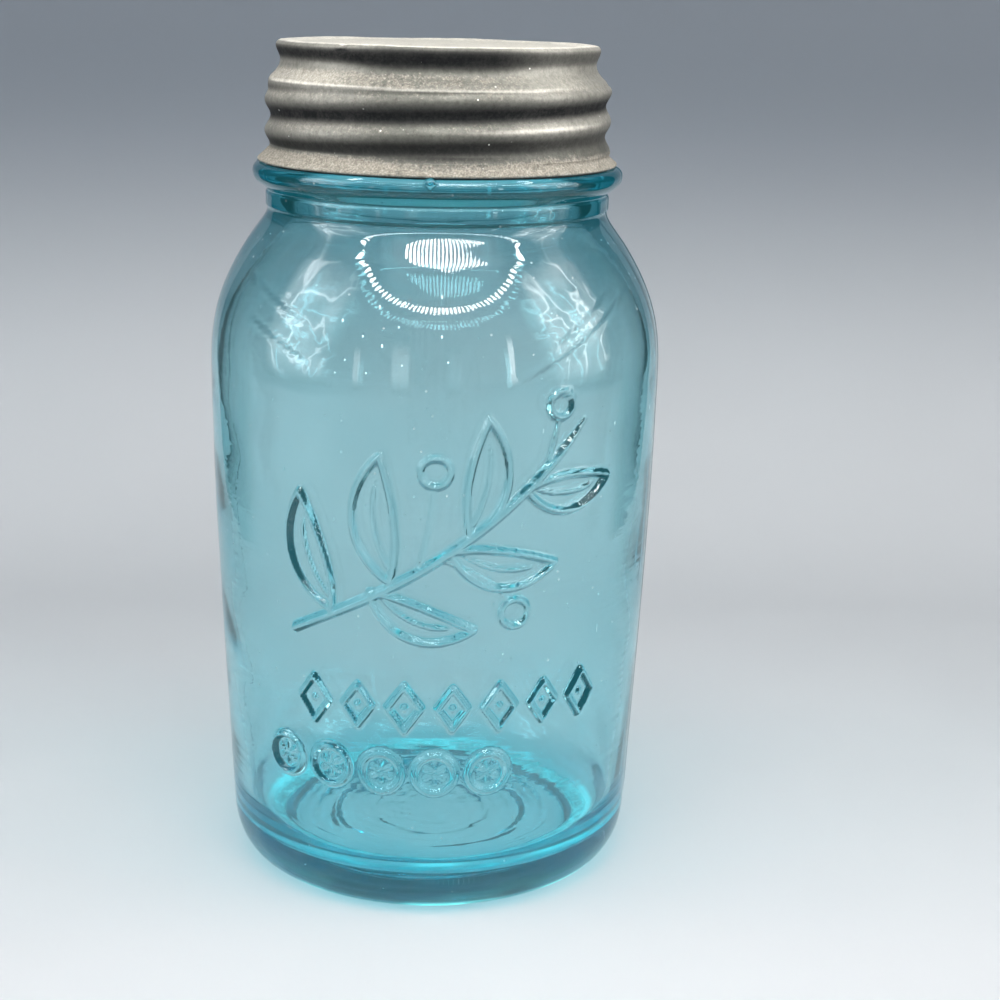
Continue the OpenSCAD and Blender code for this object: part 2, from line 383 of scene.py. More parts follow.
for _ in range(6):  # soften, as pressed glass is
    relief[1:-1] = (relief[:-2] + 2 * relief[1:-1] + relief[2:]) / 4
    relief[:, 1:-1] = (relief[:, :-2] + 2 * relief[:, 1:-1] + relief[:, 2:]) / 4
relief *= 1.28


def relief_at(u, z):
    x = (u - U0) / PX
    y = (z - Z0) / PX
    ok = (x >= 0) & (x < relief.shape[1] - 1.001) & (y >= 0) & (y < relief.shape[0] - 1.001)
    xi = np.clip(x, 0, relief.shape[1] - 1.01)
    yi = np.clip(y, 0, relief.shape[0] - 1.01)
    j, i = xi.astype(int), yi.astype(int)
    fx, fy = xi - j, yi - i
    v = (relief[i, j] * (1 - fx) + relief[i, j + 1] * fx) * (1 - fy) + (relief[i + 1, j] * (1 - fx) + relief[i + 1, j + 1] * fx) * fy
    return np.where(ok, v, 0.0)


# ---------------------------------------------------------------- the glass jar's shape
D = DZ
under = np.array([[0, 4.2], [8, 4.15], [15, 3.95], [21.5, 3.6], [22.3, 3.0], [31.5, 2.4], [33.6, 1.6], [34.5, 0.35], [35, 0]])
segs = [
    ("under", under),
    ("foot", np.array([[35, 0], [37.2, 0]])),
    ("heel", cubic((37.2, 0), (41.6, 0), (44.6, 3.6), (44.95, 11), 24)),
    ("body", cubic((44.95, 11), (46.47, 11 + 0.327 * (101 + D)), (BODY_R, 11 + 0.683 * (101 + D)), (BODY_R, 112 + D), 80)),
    ("shoulder", np.vstack([cubic((BODY_R, 112 + D), (BODY_R, 123 + D), (45.6, 130 + D), (40.4, 138 + D), 40),
                            cubic((40.4, 138 + D), (37.2, 142.4 + D), (36.1, 143.4 + D), (36.1, 145.2 + D), 24)[1:]])),
    ("band", np.array([[36.1, 145.2 + D], [36.5, 145.35 + D], [36.5, 148.25 + D], [36.1, 148.4 + D]])),
    ("neck", cubic((36.1, 148.4 + D), (36.1, 149.8 + D), (39.2, 149.6 + D), (39.2, 152.6 + D), 20)),
    ("bead", arc((37.4, 152.6 + D), 1.8, 0, 90, 16)),
    ("ledge", np.array([[37.4, 154.4 + D], [36.5, 153.5 + D], [34.0, 153.5 + D]])),
    ("finish", np.array([[34.0, 153.5 + D], [34.0, 170 + D]])),
    ("top", np.array([[34.0, 170 + D], [32.1, 171.9 + D], [32.1, LIP - 1.2]])),
    ("lip", np.vstack([cubic((32.1, LIP - 1.2), (32.1, LIP - 0.4), (31.6, LIP), (31.05, LIP), 8),
                       cubic((31.05, LIP), (30.4, LIP), (30.0, LIP - 0.4), (30.0, LIP - 1.2), 8)[1:]])),
    ("bore", np.vstack([[[30.0, LIP - 1.2], [30.0, 153 + D]], cubic((30, 153 + D), (30, 150.5 + D), (30.6, 149.5 + D), (30.6, 147 + D), 8)[1:]])),
    ("in_shoulder", np.vstack([cubic((30.6, 147 + D), (31.2, 141.5 + D), (34.4, 139.6 + D), (37.6, 135.2 + D), 20),
                               cubic((37.6, 135.2 + D), (42.6, 128.3 + D), (45.76, 121.5 + D), (45.76, 112 + D), 30)[1:]])),
    ("in_body", cubic((45.76, 112 + D), (45.76, 11 + 0.683 * (101 + D)), (43.65, 11 + 0.35 * (101 + D)), (42.1, 18), 60)),
    ("in_heel", cubic((42.1, 18), (41.75, 11.5), (38.25, 7.5), (33, 7.2), 20)),
    ("in_floor", np.array([[33, 7.2], [16, 7.05], [0, 7.0]])),
]
glass_path = Path(segs, 0.2)
M = glass_path.mark

wave_out = Waves(11, 0.022, [(6, 28, 70, 10, 1.0), (14, 12, 30, 10, 0.35)])
wave_in = Waves(12, 0.085, [(5, 30, 80, 10, 1.0), (10, 14, 34, 12, 0.4)])

# faint slanting creases on the shoulders: (u, z) to (u, z), width, depth
CREASES = [((-48.5, 133.5), (-27.8, 126.3), 0.75, 0.11), ((-43.5, 125.6), (-26.3, 119.3), 0.75, 0.11),
           ((16.5, 115.7), (48.0, 131.2), 0.75, 0.11), ((22.0, 121.5), (44.0, 132.5), 0.8, 0.06)]


def crease(u, z):
    out = np.zeros_like(z)
    for (a0, b0), (a1, b1), w, dep in CREASES:
        da, db = a1 - a0, b1 - b0
        l2 = da * da + db * db
        t = ((u - a0) * da + (z - b0) * db) / l2
        dist = ((u - a0) * db - (z - b0) * da) / math.sqrt(l2)
        end = smooth(-0.05, 0.15, t) * (1 - smooth(0.85, 1.05, t))
        x = dist / w
        # a small step with a lip, as a chill mark has
        out = out + dep * end * (-x * np.exp(-x * x) * 1.9)
    return out


SEAM = math.radians(-5)


def seam_line(th, R):
    """The two upright mould seams, opposite each other."""
    out = 0.0
    for c in (SEAM, SEAM + np.pi):
        dth = (th - c + np.pi) % (2 * np.pi) - np.pi
        out = out + 0.17 * np.exp(-(dth * R / 0.33) ** 2)
    return out


def glass_disp(S, th, R, z):
    h = np.zeros_like(R)
    u = (th + np.pi / 2 + np.pi) % (2 * np.pi) - np.pi   # angle from the front
    outer = (S >= M["heel"]) & (S < M["band"] + 2)
    if outer.any():
        body = smooth(6, 20, z) * (1 - 0.94 * smooth(104 + D, 122 + D, z)) * (1 - smooth(138 + D, 144 + D, z))
        w = wave_out(th, z) * body
        rel = relief_at(u * 47.2, z)
        cr = crease(u * 47.2, z) * smooth(108, 116, z)
        h = h + np.where(outer, w + rel + cr + seam_line(th, R) * smooth(8, 16, z), 0.0)
    neck = (S >= M["band"] + 2) & (S < M["ledge"])
    if neck.any():
        # a small two-lobed nub on the bead, at the front
        du = (u - math.radians(-2.0)) * 39.2
        dzn = z - (153.7 + D)
        nub = np.clip(1 - np.abs(du) / 1.75 - np.abs(dzn) / 1.35, 0, 1)
        nub = nub * (1 - 0.6 * np.exp(-(du / 0.4) ** 2) * smooth(-0.2, 0.5, dzn))
        h = h + np.where(neck, seam_line(th, R) + 1.6 * nub, 0.0)
        # the bead is slightly uneven round the jar
        h = h + np.where((S >= M["neck"]) & neck, 0.05 * np.cos(3 * th + 0.7) + 0.03 * np.cos(7 * th + 2.0), 0.0)
    fin = (S >= M["finish"]) & (S < M["top"])
    if fin.any():
        best = np.zeros_like(h)
        for k in range(3):
            ang = th % (2 * np.pi) + 2 * np.pi * (k - 0)
            a = np.degrees(ang)
            crest = CREST0 + PITCH * a / 360
            g = smooth(25, 52, a) * (1 - smooth(542, 571, a))
            d = np.abs(z - crest)
            prof = 1 - smooth(0.35, 2.1, d)
            best = np.maximum(best, 1.45 * prof * g)
        h = h + np.where(fin, best, 0.0)
    inn = S >= M["in_shoulder"]
    if inn.any():
        k = smooth(7.2, 16, z) * (1 - 0.7 * smooth(104 + D, 120 + D, z)) * (1 - smooth(138 + D, 147 + D, z))
        floor_k = (z < 9) * smooth(33, 26, R) * smooth(0, 10, R)
        h = h + np.where(inn, wave_in(th, z) * k + 0.10 * floor_k * np.cos(2 * th + 1.1) * np.cos(R / 4.3), 0.0)
    low = S < M["foot"] - 0.8
    if low.any():
        g = 0.0
        for c, wd, a in ((22.0, 0.7, 0.38), (26.6, 0.9, 0.16), (30.8, 0.8, -0.22), (12.5, 1.2, 0.14)):
            g = g + a * bump(c + 0.25 * np.cos(3 * th + c), wd, R)
        g = g + 0.07 * np.cos(th * 5 + R * 0.8) * np.cos(R * 1.1 + 2 * np.cos(th * 3)) * smooth(2, 8, R)
        h = h + np.where(low, g * (1 - smooth(32, 33.4, R)), 0.0)
    return h


def scuff_attr(S, th, R, z):
    """Where the jar has stood on shelves: the foot ring is worn matt."""
    return np.where(S < M["heel"] + 7.0, smooth(33.6, 34.6, R), 0.0) * (1 - smooth(0.2, 0.7, z))


def painted_glow_attr(S, th, R, z):
    """Painted glow at the outer edge of the foot and low on the heel: an emission mask standing in for light carried
    down inside the glass coming out.
    """
    edge = smooth(0.0, 0.35, z) * (1 - smooth(1.5, 2.9, z))
    return np.where((S > M["heel"]) & (S < M["heel"] + 16.0), np.maximum(edge, 0.09 * smooth(0.0, 0.35, z) * (1 - smooth(3.0, 10.0, z))), 0.0)


def haze_attr(S, th, R, z):
    """A thin old film, more on the shoulders."""
    return np.where((S > M["heel"]) & (S < M["band"]), 0.35 + 0.65 * smooth(96, 122, z), 0.15)


# ---------------------------------------------------------------- node helpers
def material(name):
    m = bpy.data.materials.new(name)
    m.use_nodes = True
    m.node_tree.nodes.clear()
    return m, m.node_tree.nodes, m.node_tree.links


class Nodes:
    """Short names for building a node tree."""

    def __init__(self, m):
        self.t = m.node_tree
        self.n, self.l = m.node_tree.nodes, m.node_tree.links

    def new(self, kind, **kw):
        x = self.n.new(kind)
        for k, v in kw.items():
            setattr(x, k, v)
        return x

    def put(self, sock, val):
        if isinstance(val, bpy.types.NodeSocket):
            self.l.new(val, sock)
        elif val is not None:
            sock.default_value = val

    def noise(self, vec, scale, detail=4.0, rough=0.55, dist=0.0):
        x = self.new("ShaderNodeTexNoise")
        self.put(x.inputs["Vector"], vec)
        x.inputs["Scale"].default_value = scale
        x.inputs["Detail"].default_value = detail
        x.inputs["Roughness"].default_value = rough
        x.inputs["Distortion"].default_value = dist
        return x.outputs["Fac"]

    def voronoi(self, vec, scale, feature="F1", rand=1.0):
        x = self.new("ShaderNodeTexVoronoi", feature=feature)
        self.put(x.inputs["Vector"], vec)
        x.inputs["Scale"].default_value = scale
        x.inputs["Randomness"].default_value = rand
        return x

    def ramp(self, fac, stops, interp="LINEAR"):
        x = self.new("ShaderNodeValToRGB")
        self.put(x.inputs["Fac"], fac)
        cr = x.color_ramp
        cr.interpolation = interp
        while len(cr.elements) < len(stops):
            cr.elements.new(0.5)
        for e, (p, c) in zip(cr.elements, stops):
            e.position = p
            e.color = tuple(c) + (1,) if len(c) == 3 else tuple(c)
        return x.outputs["Color"]

    def range(self, v, a, b, c=0.0, d=1.0, kind="SMOOTHSTEP"):
        x = self.new("ShaderNodeMapRange", interpolation_type=kind)
        self.put(x.inputs["Value"], v)
        for k, q in zip(("From Min", "From Max", "To Min", "To Max"), (a, b, c, d)):
            self.put(x.inputs[k], q)
        return x.outputs["Result"]

    def math(self, op, a, b=0.0, clamp=False):
        x = self.new("ShaderNodeMath", operation=op, use_clamp=clamp)
        self.put(x.inputs[0], a)
        self.put(x.inputs[1], b)
        return x.outputs[0]

    def mix(self, fac, a, b, blend="MIX"):
        x = self.new("ShaderNodeMix", data_type="RGBA", blend_type=blend)
        self.put(x.inputs[0], fac)
        self.put(x.inputs[6], a + (1,) if isinstance(a, tuple) and len(a) == 3 else a)
        self.put(x.inputs[7], b + (1,) if isinstance(b, tuple) and len(b) == 3 else b)
        return x.outputs[2]

    def mixf(self, fac, a, b):
        x = self.new("ShaderNodeMix", data_type="FLOAT")
        self.put(x.inputs[0], fac)
        self.put(x.inputs[2], a)
        self.put(x.inputs[3], b)
        return x.outputs[0]

    def bump(self, height, strength, distance, normal=None):
        x = self.new("ShaderNodeBump")
        x.inputs["Strength"].default_value = strength
        x.inputs["Distance"].default_value = distance
        self.put(x.inputs["Height"], height)
        self.put(x.inputs["Normal"], normal)
        return x.outputs["Normal"]

    def attr(self, name):
        x = self.new("ShaderNodeAttribute", attribute_name=name)
        return x.outputs["Fac"]

    def coord(self, scale=(1, 1, 1)):
        x = self.new("ShaderNodeTexCoord")
        m = self.new("ShaderNodeMapping")
        self.l.new(x.outputs["Object"], m.inputs["Vector"])
        m.inputs["Scale"].default_value = scale
        return m.outputs["Vector"]


# ---------------------------------------------------------------- materials
def glass_material():
    m, _, _ = material("aqua_glass")
    N = Nodes(m)
    out = N.new("ShaderNodeOutputMaterial")
    co = N.coord()
    # fine reams and pressing marks: long in one direction, only a few microns high
    ream = N.noise(N.coord((30, 30, 420)), 1.0, 2.0, 0.5)
    orange = N.noise(co, 420, 3.0, 0.5)
    nrm = N.bump(ream, 0.10, 0.0003)
    N.put(nrm.node.inputs["Strength"], N.range(N.attr("haze"), 0.36, 0.62, 0.11, 0.03))   # stronger on the side than on the shoulder
    nrm = N.bump(orange, 0.025, 0.0002, nrm)
    p = N.new("ShaderNodeBsdfPrincipled")
    p.inputs["Base Color"].default_value = (1, 1, 1, 1)
    p.inputs["Transmission Weight"].default_value = 1.0
    p.inputs["IOR"].default_value = 1.52
    N.put(p.inputs["Roughness"], N.range(N.noise(co, 70, 5.0, 0.6), 0.45, 0.75, 0.0, 0.05))
    N.put(p.inputs["Normal"], nrm)
    # fine specks of dried-on scale, a thin film, and the worn foot ring; the seed bubbles are coloured white as painted
    # glints
    v = N.voronoi(co, 620)
    sp = N.math("MULTIPLY", N.range(v.outputs["Distance"], 0.16, 0.10), N.range(v.outputs["Color"], 0.80, 0.86))
    film = N.math("MULTIPLY", N.attr("haze"), N.range(N.noise(co, 26, 7.0, 0.62), 0.38, 0.72, 0.01, 0.055))
    cover = N.math("ADD", film, N.math("MULTIPLY", sp, 0.5), True)
    cover = N.math("MAXIMUM", cover, N.math("MULTIPLY", N.attr("speck"), 0.9))
    white = N.new("ShaderNodeBsdfDiffuse")
    white.inputs["Color"].default_value = (0.80, 0.84, 0.86, 1)
    ms0 = N.new("ShaderNodeMixShader")
    N.put(ms0.inputs[0], cover)
    N.l.new(p.outputs[0], ms0.inputs[1])
    N.l.new(white.outputs[0], ms0.inputs[2])
    ground = N.new("ShaderNodeBsdfDiffuse")
    ground.inputs["Color"].default_value = (0.42, 0.80, 0.78, 1)
    glow = N.new("ShaderNodeBsdfTranslucent")
    glow.inputs["Color"].default_value = (0.42, 0.80, 0.78, 1)
    g2 = N.new("ShaderNodeMixShader")
    g2.inputs[0].default_value = 0.5
    N.l.new(ground.outputs[0], g2.inputs[1])
    N.l.new(glow.outputs[0], g2.inputs[2])
    ms = N.new("ShaderNodeMixShader")
    N.put(ms.inputs[0], N.math("MULTIPLY", N.attr("scuff"), N.range(N.noise(co, 160, 5.0, 0.65), 0.3, 0.7, 0.25, 0.85)))
    # painted glow: an emission on the worn foot ring, standing in for light gathered by the thick bottom that leaves at
    # the foot's edge
    edge = N.new("ShaderNodeEmission")
    edge.inputs["Color"].default_value = (0.10, 0.80, 0.78, 1)
    N.put(edge.inputs["Strength"], N.range(N.noise(N.coord(), 38, 4.0, 0.6), 0.35, 0.68, 0.12, 0.85))
    g3 = N.new("ShaderNodeAddShader")
    N.l.new(g2.outputs[0], g3.inputs[0])
    N.l.new(edge.outputs[0], g3.inputs[1])
    # painted glow: an emission along the foot's outer edge and low on the heel, standing in for light coming out of the
    # glass
    rim = N.new("ShaderNodeEmission")
    rim.inputs["Color"].default_value = (0.16, 0.90, 0.84, 1)
    lit = N.range(N.noise(N.coord((1, 1, 3)), 42, 3.0, 0.55), 0.40, 0.64, 0.10, 0.95)
    spark = N.math("MULTIPLY", N.attr("speck"), 0.9)
    N.put(rim.inputs["Strength"], N.math("MULTIPLY", N.attr("glow"), lit))
    # painted glints: the seed bubbles glow pale white, as if catching the light
    seed = N.new("ShaderNodeEmission")
    seed.inputs["Color"].default_value = (0.85, 0.97, 1.0, 1)
    N.put(seed.inputs["Strength"], spark)
    a1 = N.new("ShaderNodeAddShader")
    N.l.new(ms0.outputs[0], a1.inputs[0])
    N.l.new(rim.outputs[0], a1.inputs[1])
    a2 = N.new("ShaderNodeAddShader")
    N.l.new(a1.outputs[0], a2.inputs[0])
    N.l.new(seed.outputs[0], a2.inputs[1])
    N.l.new(a2.outputs[0], ms.inputs[1])
    N.l.new(g3.outputs[0], ms.inputs[2])
    lp = N.new("ShaderNodeLightPath")
    tr = N.new("ShaderNodeBsdfTransparent")
    tr.inputs["Color"].default_value = (0.97, 0.985, 0.985, 1)
    mx = N.new("ShaderNodeMixShader")
    N.put(mx.inputs[0], N.math("MAXIMUM", lp.outputs["Is Shadow Ray"], lp.outputs["Is Diffuse Ray"]))
    N.l.new(ms.outputs[0], mx.inputs[1])
    N.l.new(tr.outputs[0], mx.inputs[2])
    N.l.new(mx.outputs[0], out.inputs["Surface"])
    ab = N.new("ShaderNodeVolumeAbsorption")
    ab.inputs["Color"].default_value = (0.109, 0.7225, 0.8056, 1)
    N.put(ab.inputs["Density"], N.mixf(lp.outputs["Is Shadow Ray"], 150.0, 45.0))
    # painted glow: a volume emission standing in for a little light scattered inside the thick parts
    em = N.new("ShaderNodeEmission")
    em.inputs["Color"].default_value = (0.06, 0.95, 1.0, 1)
    em.inputs["Strength"].default_value = 4.2
    ad = N.new("ShaderNodeAddShader")
    N.l.new(ab.outputs[0], ad.inputs[0])
    N.l.new(em.outputs[0], ad.inputs[1])
    N.l.new(ad.outputs[0], out.inputs["Volume"])
    return m


def zinc_material():
    m, _, _ = material("oxidised_zinc")
    N = Nodes(m)
    out = N.new("ShaderNodeOutputMaterial")
    co = N.coord()
    geo = N.new("ShaderNodeNewGeometry")
    sep = N.new("ShaderNodeSeparateXYZ")
    N.l.new(geo.outputs["Normal"], sep.inputs[0])
    up = sep.outputs["Z"]
    pat = N.attr("powder")
    dark = N.attr("soot")
    big = N.noise(co, 55, 6.0, 0.62, 0.3)
    mid = N.noise(co, 240, 6.0, 0.66)
    fine = N.noise(co, 1500, 3.0, 0.7)
    grain = N.noise(co, 2500, 3.0, 0.62)
    bare = N.attr("bare")
    # metal under the oxide: olive grey, mottled
    metal = N.ramp(big, [(0.25, (0.095, 0.096, 0.083)), (0.5, (0.135, 0.136, 0.118)), (0.78, (0.185, 0.183, 0.16))])
    metal = N.mix(N.range(mid, 0.35, 0.7, 0.0, 0.7), metal, (0.155, 0.154, 0.134), "MIX")
    # powdery white-beige oxide
    cover = N.math("ADD", N.math("MULTIPLY", pat, 1.15), N.math("MULTIPLY", N.math("SUBTRACT", mid, 0.5), 0.8))
    cover = N.math("ADD", cover, N.math("MULTIPLY", N.math("SUBTRACT", fine, 0.5), 1.9))
    cover = N.math("ADD", cover, N.math("MULTIPLY", N.math("SUBTRACT", big, 0.5), 0.7))
    powder = N.range(cover, 0.30, 1.0)
    pcol = N.ramp(grain, [(0.3, (0.21, 0.19, 0.155)), (0.5, (0.285, 0.262, 0.22)), (0.7, (0.41, 0.385, 0.335))])
    col = N.mix(powder, metal, pcol)
    # painted highlights: pale bright colour on the crease, the right of the thread, the skirt's sides and the top's
    # edge
    col = N.mix(N.math("MULTIPLY", bare, N.range(mid, 0.25, 0.6, 0.65, 1.0), True), col, (0.75, 0.72, 0.645))
    # fine mottling and small pits everywhere
    spots = N.noise(co, 900, 4.0, 0.6)
    col = N.mix(1.0, col, N.ramp(N.math("ADD", N.math("MULTIPLY", spots, 0.6), N.math("MULTIPLY", grain, 0.4)),
                                [(0.30, (0.62, 0.61, 0.59)), (0.5, (0.96, 0.96, 0.96)), (0.68, (1.22, 1.21, 1.19))]), "MULTIPLY")
    # painted shade: near-black colour in the groove and under each turn of the rolled thread, where the downward-facing
    # metal is in shade
    painted_shade_mask = N.math("MULTIPLY", dark, N.range(N.math("ADD", mid, N.math("MULTIPLY", N.math("SUBTRACT", fine, 0.5), 0.9)), 0.1, 0.75, 0.90, 1.03))
    col = N.mix(N.math("MULTIPLY", painted_shade_mask, 0.97, True), col, (0.010, 0.0105, 0.012))
    # scattered white specks
    v = N.voronoi(co, 900)
    sp = N.math("MULTIPLY", N.range(v.outputs["Distance"], 0.22, 0.12), N.range(v.outputs["Color"], 0.89, 0.93))
    v2 = N.voronoi(co, 340)
    sp2 = N.math("MULTIPLY", N.range(v2.outputs["Distance"], 0.14, 0.07), N.range(v2.outputs["Color"], 0.955, 0.97))
    specks = N.math("MAXIMUM", sp, sp2)
    col = N.mix(specks, col, (0.80, 0.79, 0.74))
    p = N.new("ShaderNodeBsdfPrincipled")
    N.put(p.inputs["Base Color"], col)
    cov2 = N.math("MAXIMUM", powder, specks)
    N.put(p.inputs["Metallic"], N.math("MULTIPLY", N.range(cov2, 0.1, 0.8, 0.42, 0.0), N.math("SUBTRACT", 1.0, N.math("MULTIPLY", painted_shade_mask, 0.8))))
    N.put(p.inputs["Specular IOR Level"], N.mixf(painted_shade_mask, 0.45, 0.12))
    rough = N.mixf(cov2, N.range(mid, 0.3, 0.75, 0.42, 0.56), 0.9)
    N.put(p.inputs["Roughness"], N.mixf(painted_shade_mask, rough, 0.7))
    h = N.math("ADD", N.math("MULTIPLY", fine, 0.35), N.math("MULTIPLY", grain, 0.3))
    h = N.math("ADD", h, N.math("MULTIPLY", powder, 0.45))
    h = N.math("ADD", h, N.math("MULTIPLY", specks, 0.8))
    n1 = N.bump(mid, 0.24, 0.0005)
    n2 = N.bump(h, 0.35, 0.00014, n1)
    N.put(p.inputs["Normal"], n2)
    N.l.new(p.outputs[0], out.inputs["Surface"])
    return m


def opal_material():
    m, _, _ = material("opal_glass")
    N = Nodes(m)
    out = N.new("ShaderNodeOutputMaterial")
    co = N.coord()
    a = N.noise(co, 60, 5.0, 0.6)
    b = N.noise(co, 700, 3.0, 0.5)
    col = N.ramp(a, [(0.3, (0.80, 0.82, 0.79)), (0.55, (0.88, 0.89, 0.87)), (0.8, (0.83, 0.80, 0.73))])
    p = N.new("ShaderNodeBsdfPrincipled")
    N.put(p.inputs["Base Color"], col)
    p.inputs["Subsurface Weight"].default_value = 0.35
    p.inputs["Subsurface Radius"].default_value = (0.0022, 0.0026, 0.0030)
    p.inputs["Subsurface Scale"].default_value = 1.0
    N.put(p.inputs["Roughness"], N.range(b, 0.3, 0.7, 0.10, 0.22))
    p.inputs["Coat Weight"].default_value = 0.3
    p.inputs["Coat Roughness"].default_value = 0.05
    N.put(p.inputs["Normal"], N.bump(a, 0.12, 0.0004))
    N.l.new(p.outputs[0], out.inputs["Surface"])
    return m


def rubber_material():
    m, _, _ = material("aged_rubber")
    N = Nodes(m)
    out = N.new("ShaderNodeOutputMaterial")
    co = N.coord()
    a = N.noise(co, 160, 6.0, 0.65)
    v = N.voronoi(co, 700, "DISTANCE_TO_EDGE")
    crack = N.range(v.outputs["Distance"], 0.0, 0.08, 1.0, 0.0)
    col = N.ramp(a, [(0.3, (0.020, 0.014, 0.012)), (0.55, (0.045, 0.030, 0.024)), (0.8, (0.10, 0.075, 0.060))])
    col = N.mix(N.math("MULTIPLY", crack, 0.6), col, (0.008, 0.006, 0.005))
    p = N.new("ShaderNodeBsdfPrincipled")
    N.put(p.inputs["Base Color"], col)
    N.put(p.inputs["Roughness"], N.range(a, 0.3, 0.7, 0.55, 0.82))
    N.put(p.inputs["Normal"], N.bump(N.math("SUBTRACT", a, N.math("MULTIPLY", crack, 0.7)), 0.5, 0.0003))
    N.l.new(p.outputs[0], out.inputs["Surface"])
    return m


M_GLASS, M_ZINC, M_OPAL, M_RUBBER = glass_material(), zinc_material(), opal_material(), rubber_material()

# ---------------------------------------------------------------- glass jar


def with_seams(t, reach, step):
    """Adds finer angles beside the mould seams."""
    t = (np.asarray(t) + np.pi) % (2 * np.pi) - np.pi
    extra = []
    for c in (SEAM, SEAM + np.pi):
        c = (c + np.pi) % (2 * np.pi) - np.pi
        t = t[np.abs((t - c + np.pi) % (2 * np.pi) - np.pi) > np.radians(reach + step * 0.6)]
        extra.append(c + np.radians(np.arange(-reach, reach + step / 2, step)))
    t = (np.concatenate([t] + extra) + np.pi) % (2 * np.pi) - np.pi
    return np.sort(t)


th_front = with_seams(angles([(-140, -40, 0.52), (-40, -30, 1.0), (-30, 210, 3.4), (210, 220, 1.0)]), 0.66, 0.33)
th_mid = with_seams(angles([(-180, 180, 2.4)]), 1.0, 0.33)
th_neck = np.sort(np.concatenate([th_mid[(th_mid < np.radians(-96)) | (th_mid > np.radians(-88))], np.radians(np.arange(-95.6, -88.3, 0.36))]))
th_sh = with_seams(angles([(-150, -30, 1.2), (-30, 210, 3.2)]), 0.66, 0.33)
th_in = angles([(-180, 180, 3.8)])
th_low = angles([(-180, 180, 2.4)])
th_hid = angles([(-180, 180, 3.2)])

rows = glass_path.rows([("under", 1.2), ("foot", 0.7), ("heel", 0.8), ("body", 0.52), ("shoulder", 0.75), ("band", 0.25), ("neck", 0.33),
                        ("bead", 0.28), ("ledge", 0.5), ("finish", 0.42), ("top", 0.5), ("lip", 0.35), ("bore", 1.6), ("in_shoulder", 1.7),
                        ("in_body", 2.3), ("in_heel", 0.9), ("in_floor", 2.2)])
names = ["under", "foot", "heel", "body", "shoulder", "band", "neck", "bead", "ledge", "finish", "top", "lip", "bore", "in_shoulder",
         "in_body", "in_heel", "in_floor"]
ths = dict(under=th_low, foot=th_low, heel=th_mid, body=th_front, shoulder=th_sh, band=th_mid, neck=th_neck, bead=th_neck, ledge=th_mid,
           finish=th_hid, top=th_hid, lip=th_hid, bore=th_in, in_shoulder=th_in, in_body=th_in, in_heel=th_in, in_floor=th_in)
rows[0] = rows[0][1:]
k = names.index("body")   # plain glass below the raised marks needs fewer rows
low = rows[k][glass_path.at(rows[k])[1] < 25]
rows[k] = np.concatenate([low[::2], rows[k][len(low):]])
blocks = [(r, ths[n]) for r, n in zip(rows, names) if len(r)]
gb = Builder()
revolve(gb, glass_path, blocks, glass_disp, {"scuff": scuff_attr, "haze": haze_attr, "glow": painted_glow_attr})

# seed bubbles: closed hollows inside the wall, so their faces point into them
import bmesh
bm = bmesh.new()
bmesh.ops.create_icosphere(bm, subdivisions=2, radius=1.0)
ico_v = np.array([v.co[:] for v in bm.verts])
ico_f = [[v.index for v in f.verts] for f in bm.faces]
bm.free()


def wall_point(ang, z, depth):
    """A point depth mm under the outer face of the side wall."""
    s = np.interp(z, glass_path.Z[(glass_path.s > M["heel"]) & (glass_path.s < M["band"])],
                  glass_path.s[(glass_path.s > M["heel"]) & (glass_path.s < M["band"])])
    R, zz = glass_path.at(np.array([s]))
    nr, nz = glass_path.normal(np.array([s]))
    r = R[0] - depth * nr[0]
    return np.array([r * math.cos(ang), r * math.sin(ang), zz[0] - depth * nz[0]])


bubbles = []
for ang, z, d, a, b_ in [(-113.6, 127.5, 1.2, 0.20, 0.40), (-107.8, 124.8, 1.2, 0.18, 0.26), (-102.8, 123.2, 1.2, 0.20, 0.38), (-99.0, 126.9, 1.2, 0.17, 0.26),
                          (-88.4, 125.3, 1.2, 0.19, 0.36), (-111.9, 120.0, 1.2, 0.16, 0.20), (-106.4, 117.7, 1.2, 0.16, 0.22), (-97.8, 119.6, 1.2, 0.16, 0.20),
                          (-86.9, 120.4, 1.2, 0.17, 0.22), (-104.3, 130.5, 1.2, 0.19, 0.46), (-88.4, 132.7, 1.2, 0.20, 0.42), (-114.3, 117.3, 1.2, 0.15, 0.18)]:
    bubbles.append((math.radians(ang), z, d, a, b_))
g = np.random.default_rng(5)
for _ in range(26):
    bubbles.append((g.uniform(-np.pi, np.pi), g.uniform(14, 128), g.uniform(1.0, 1.9), g.uniform(0.12, 0.26), g.uniform(0.2, 0.6)))
for k, (ang, z, depth, a, b_) in enumerate(bubbles):
    c = wall_point(ang, z, depth)
    er = np.array([math.cos(ang), math.sin(ang), 0])
    et = np.array([-math.sin(ang), math.cos(ang), 0])
    v = c + ico_v[:, :1] * a * er + ico_v[:, 1:2] * a * et + ico_v[:, 2:] * b_ * np.array([0, 0, 1.0])
    n = unit(ico_v[:, :1] / a * er + ico_v[:, 1:2] / a * et + ico_v[:, 2:] / b_ * np.array([0, 0, 1.0]))
    # this value paints the bubble as a pale glint: white colour and a faint glow
    i = gb.add(v, -n, speck=1.0 if k < 12 else 0.25)
    gb.f.extend([[int(i[f[0]]), int(i[f[2]]), int(i[f[1]])] for f in ico_f])

glass = gb.object("glass_jar_body", M_GLASS)
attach(glass, "jar")
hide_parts("glass_jar")

# ---------------------------------------------------------------- zinc cap
T = CAP_TOP
PANEL = 0.35
SHEET = 0.55
zb = lambda v: v + D


def roll_r(th, z):
    fade = 1 - smooth(169.6 + D, 171.6 + D, z)
    w = np.cos(2 * np.pi * (z - CREST0) / PITCH - th)
    return 36.0 + 0.4 * (1 - fade) + 0.6 * w * fade


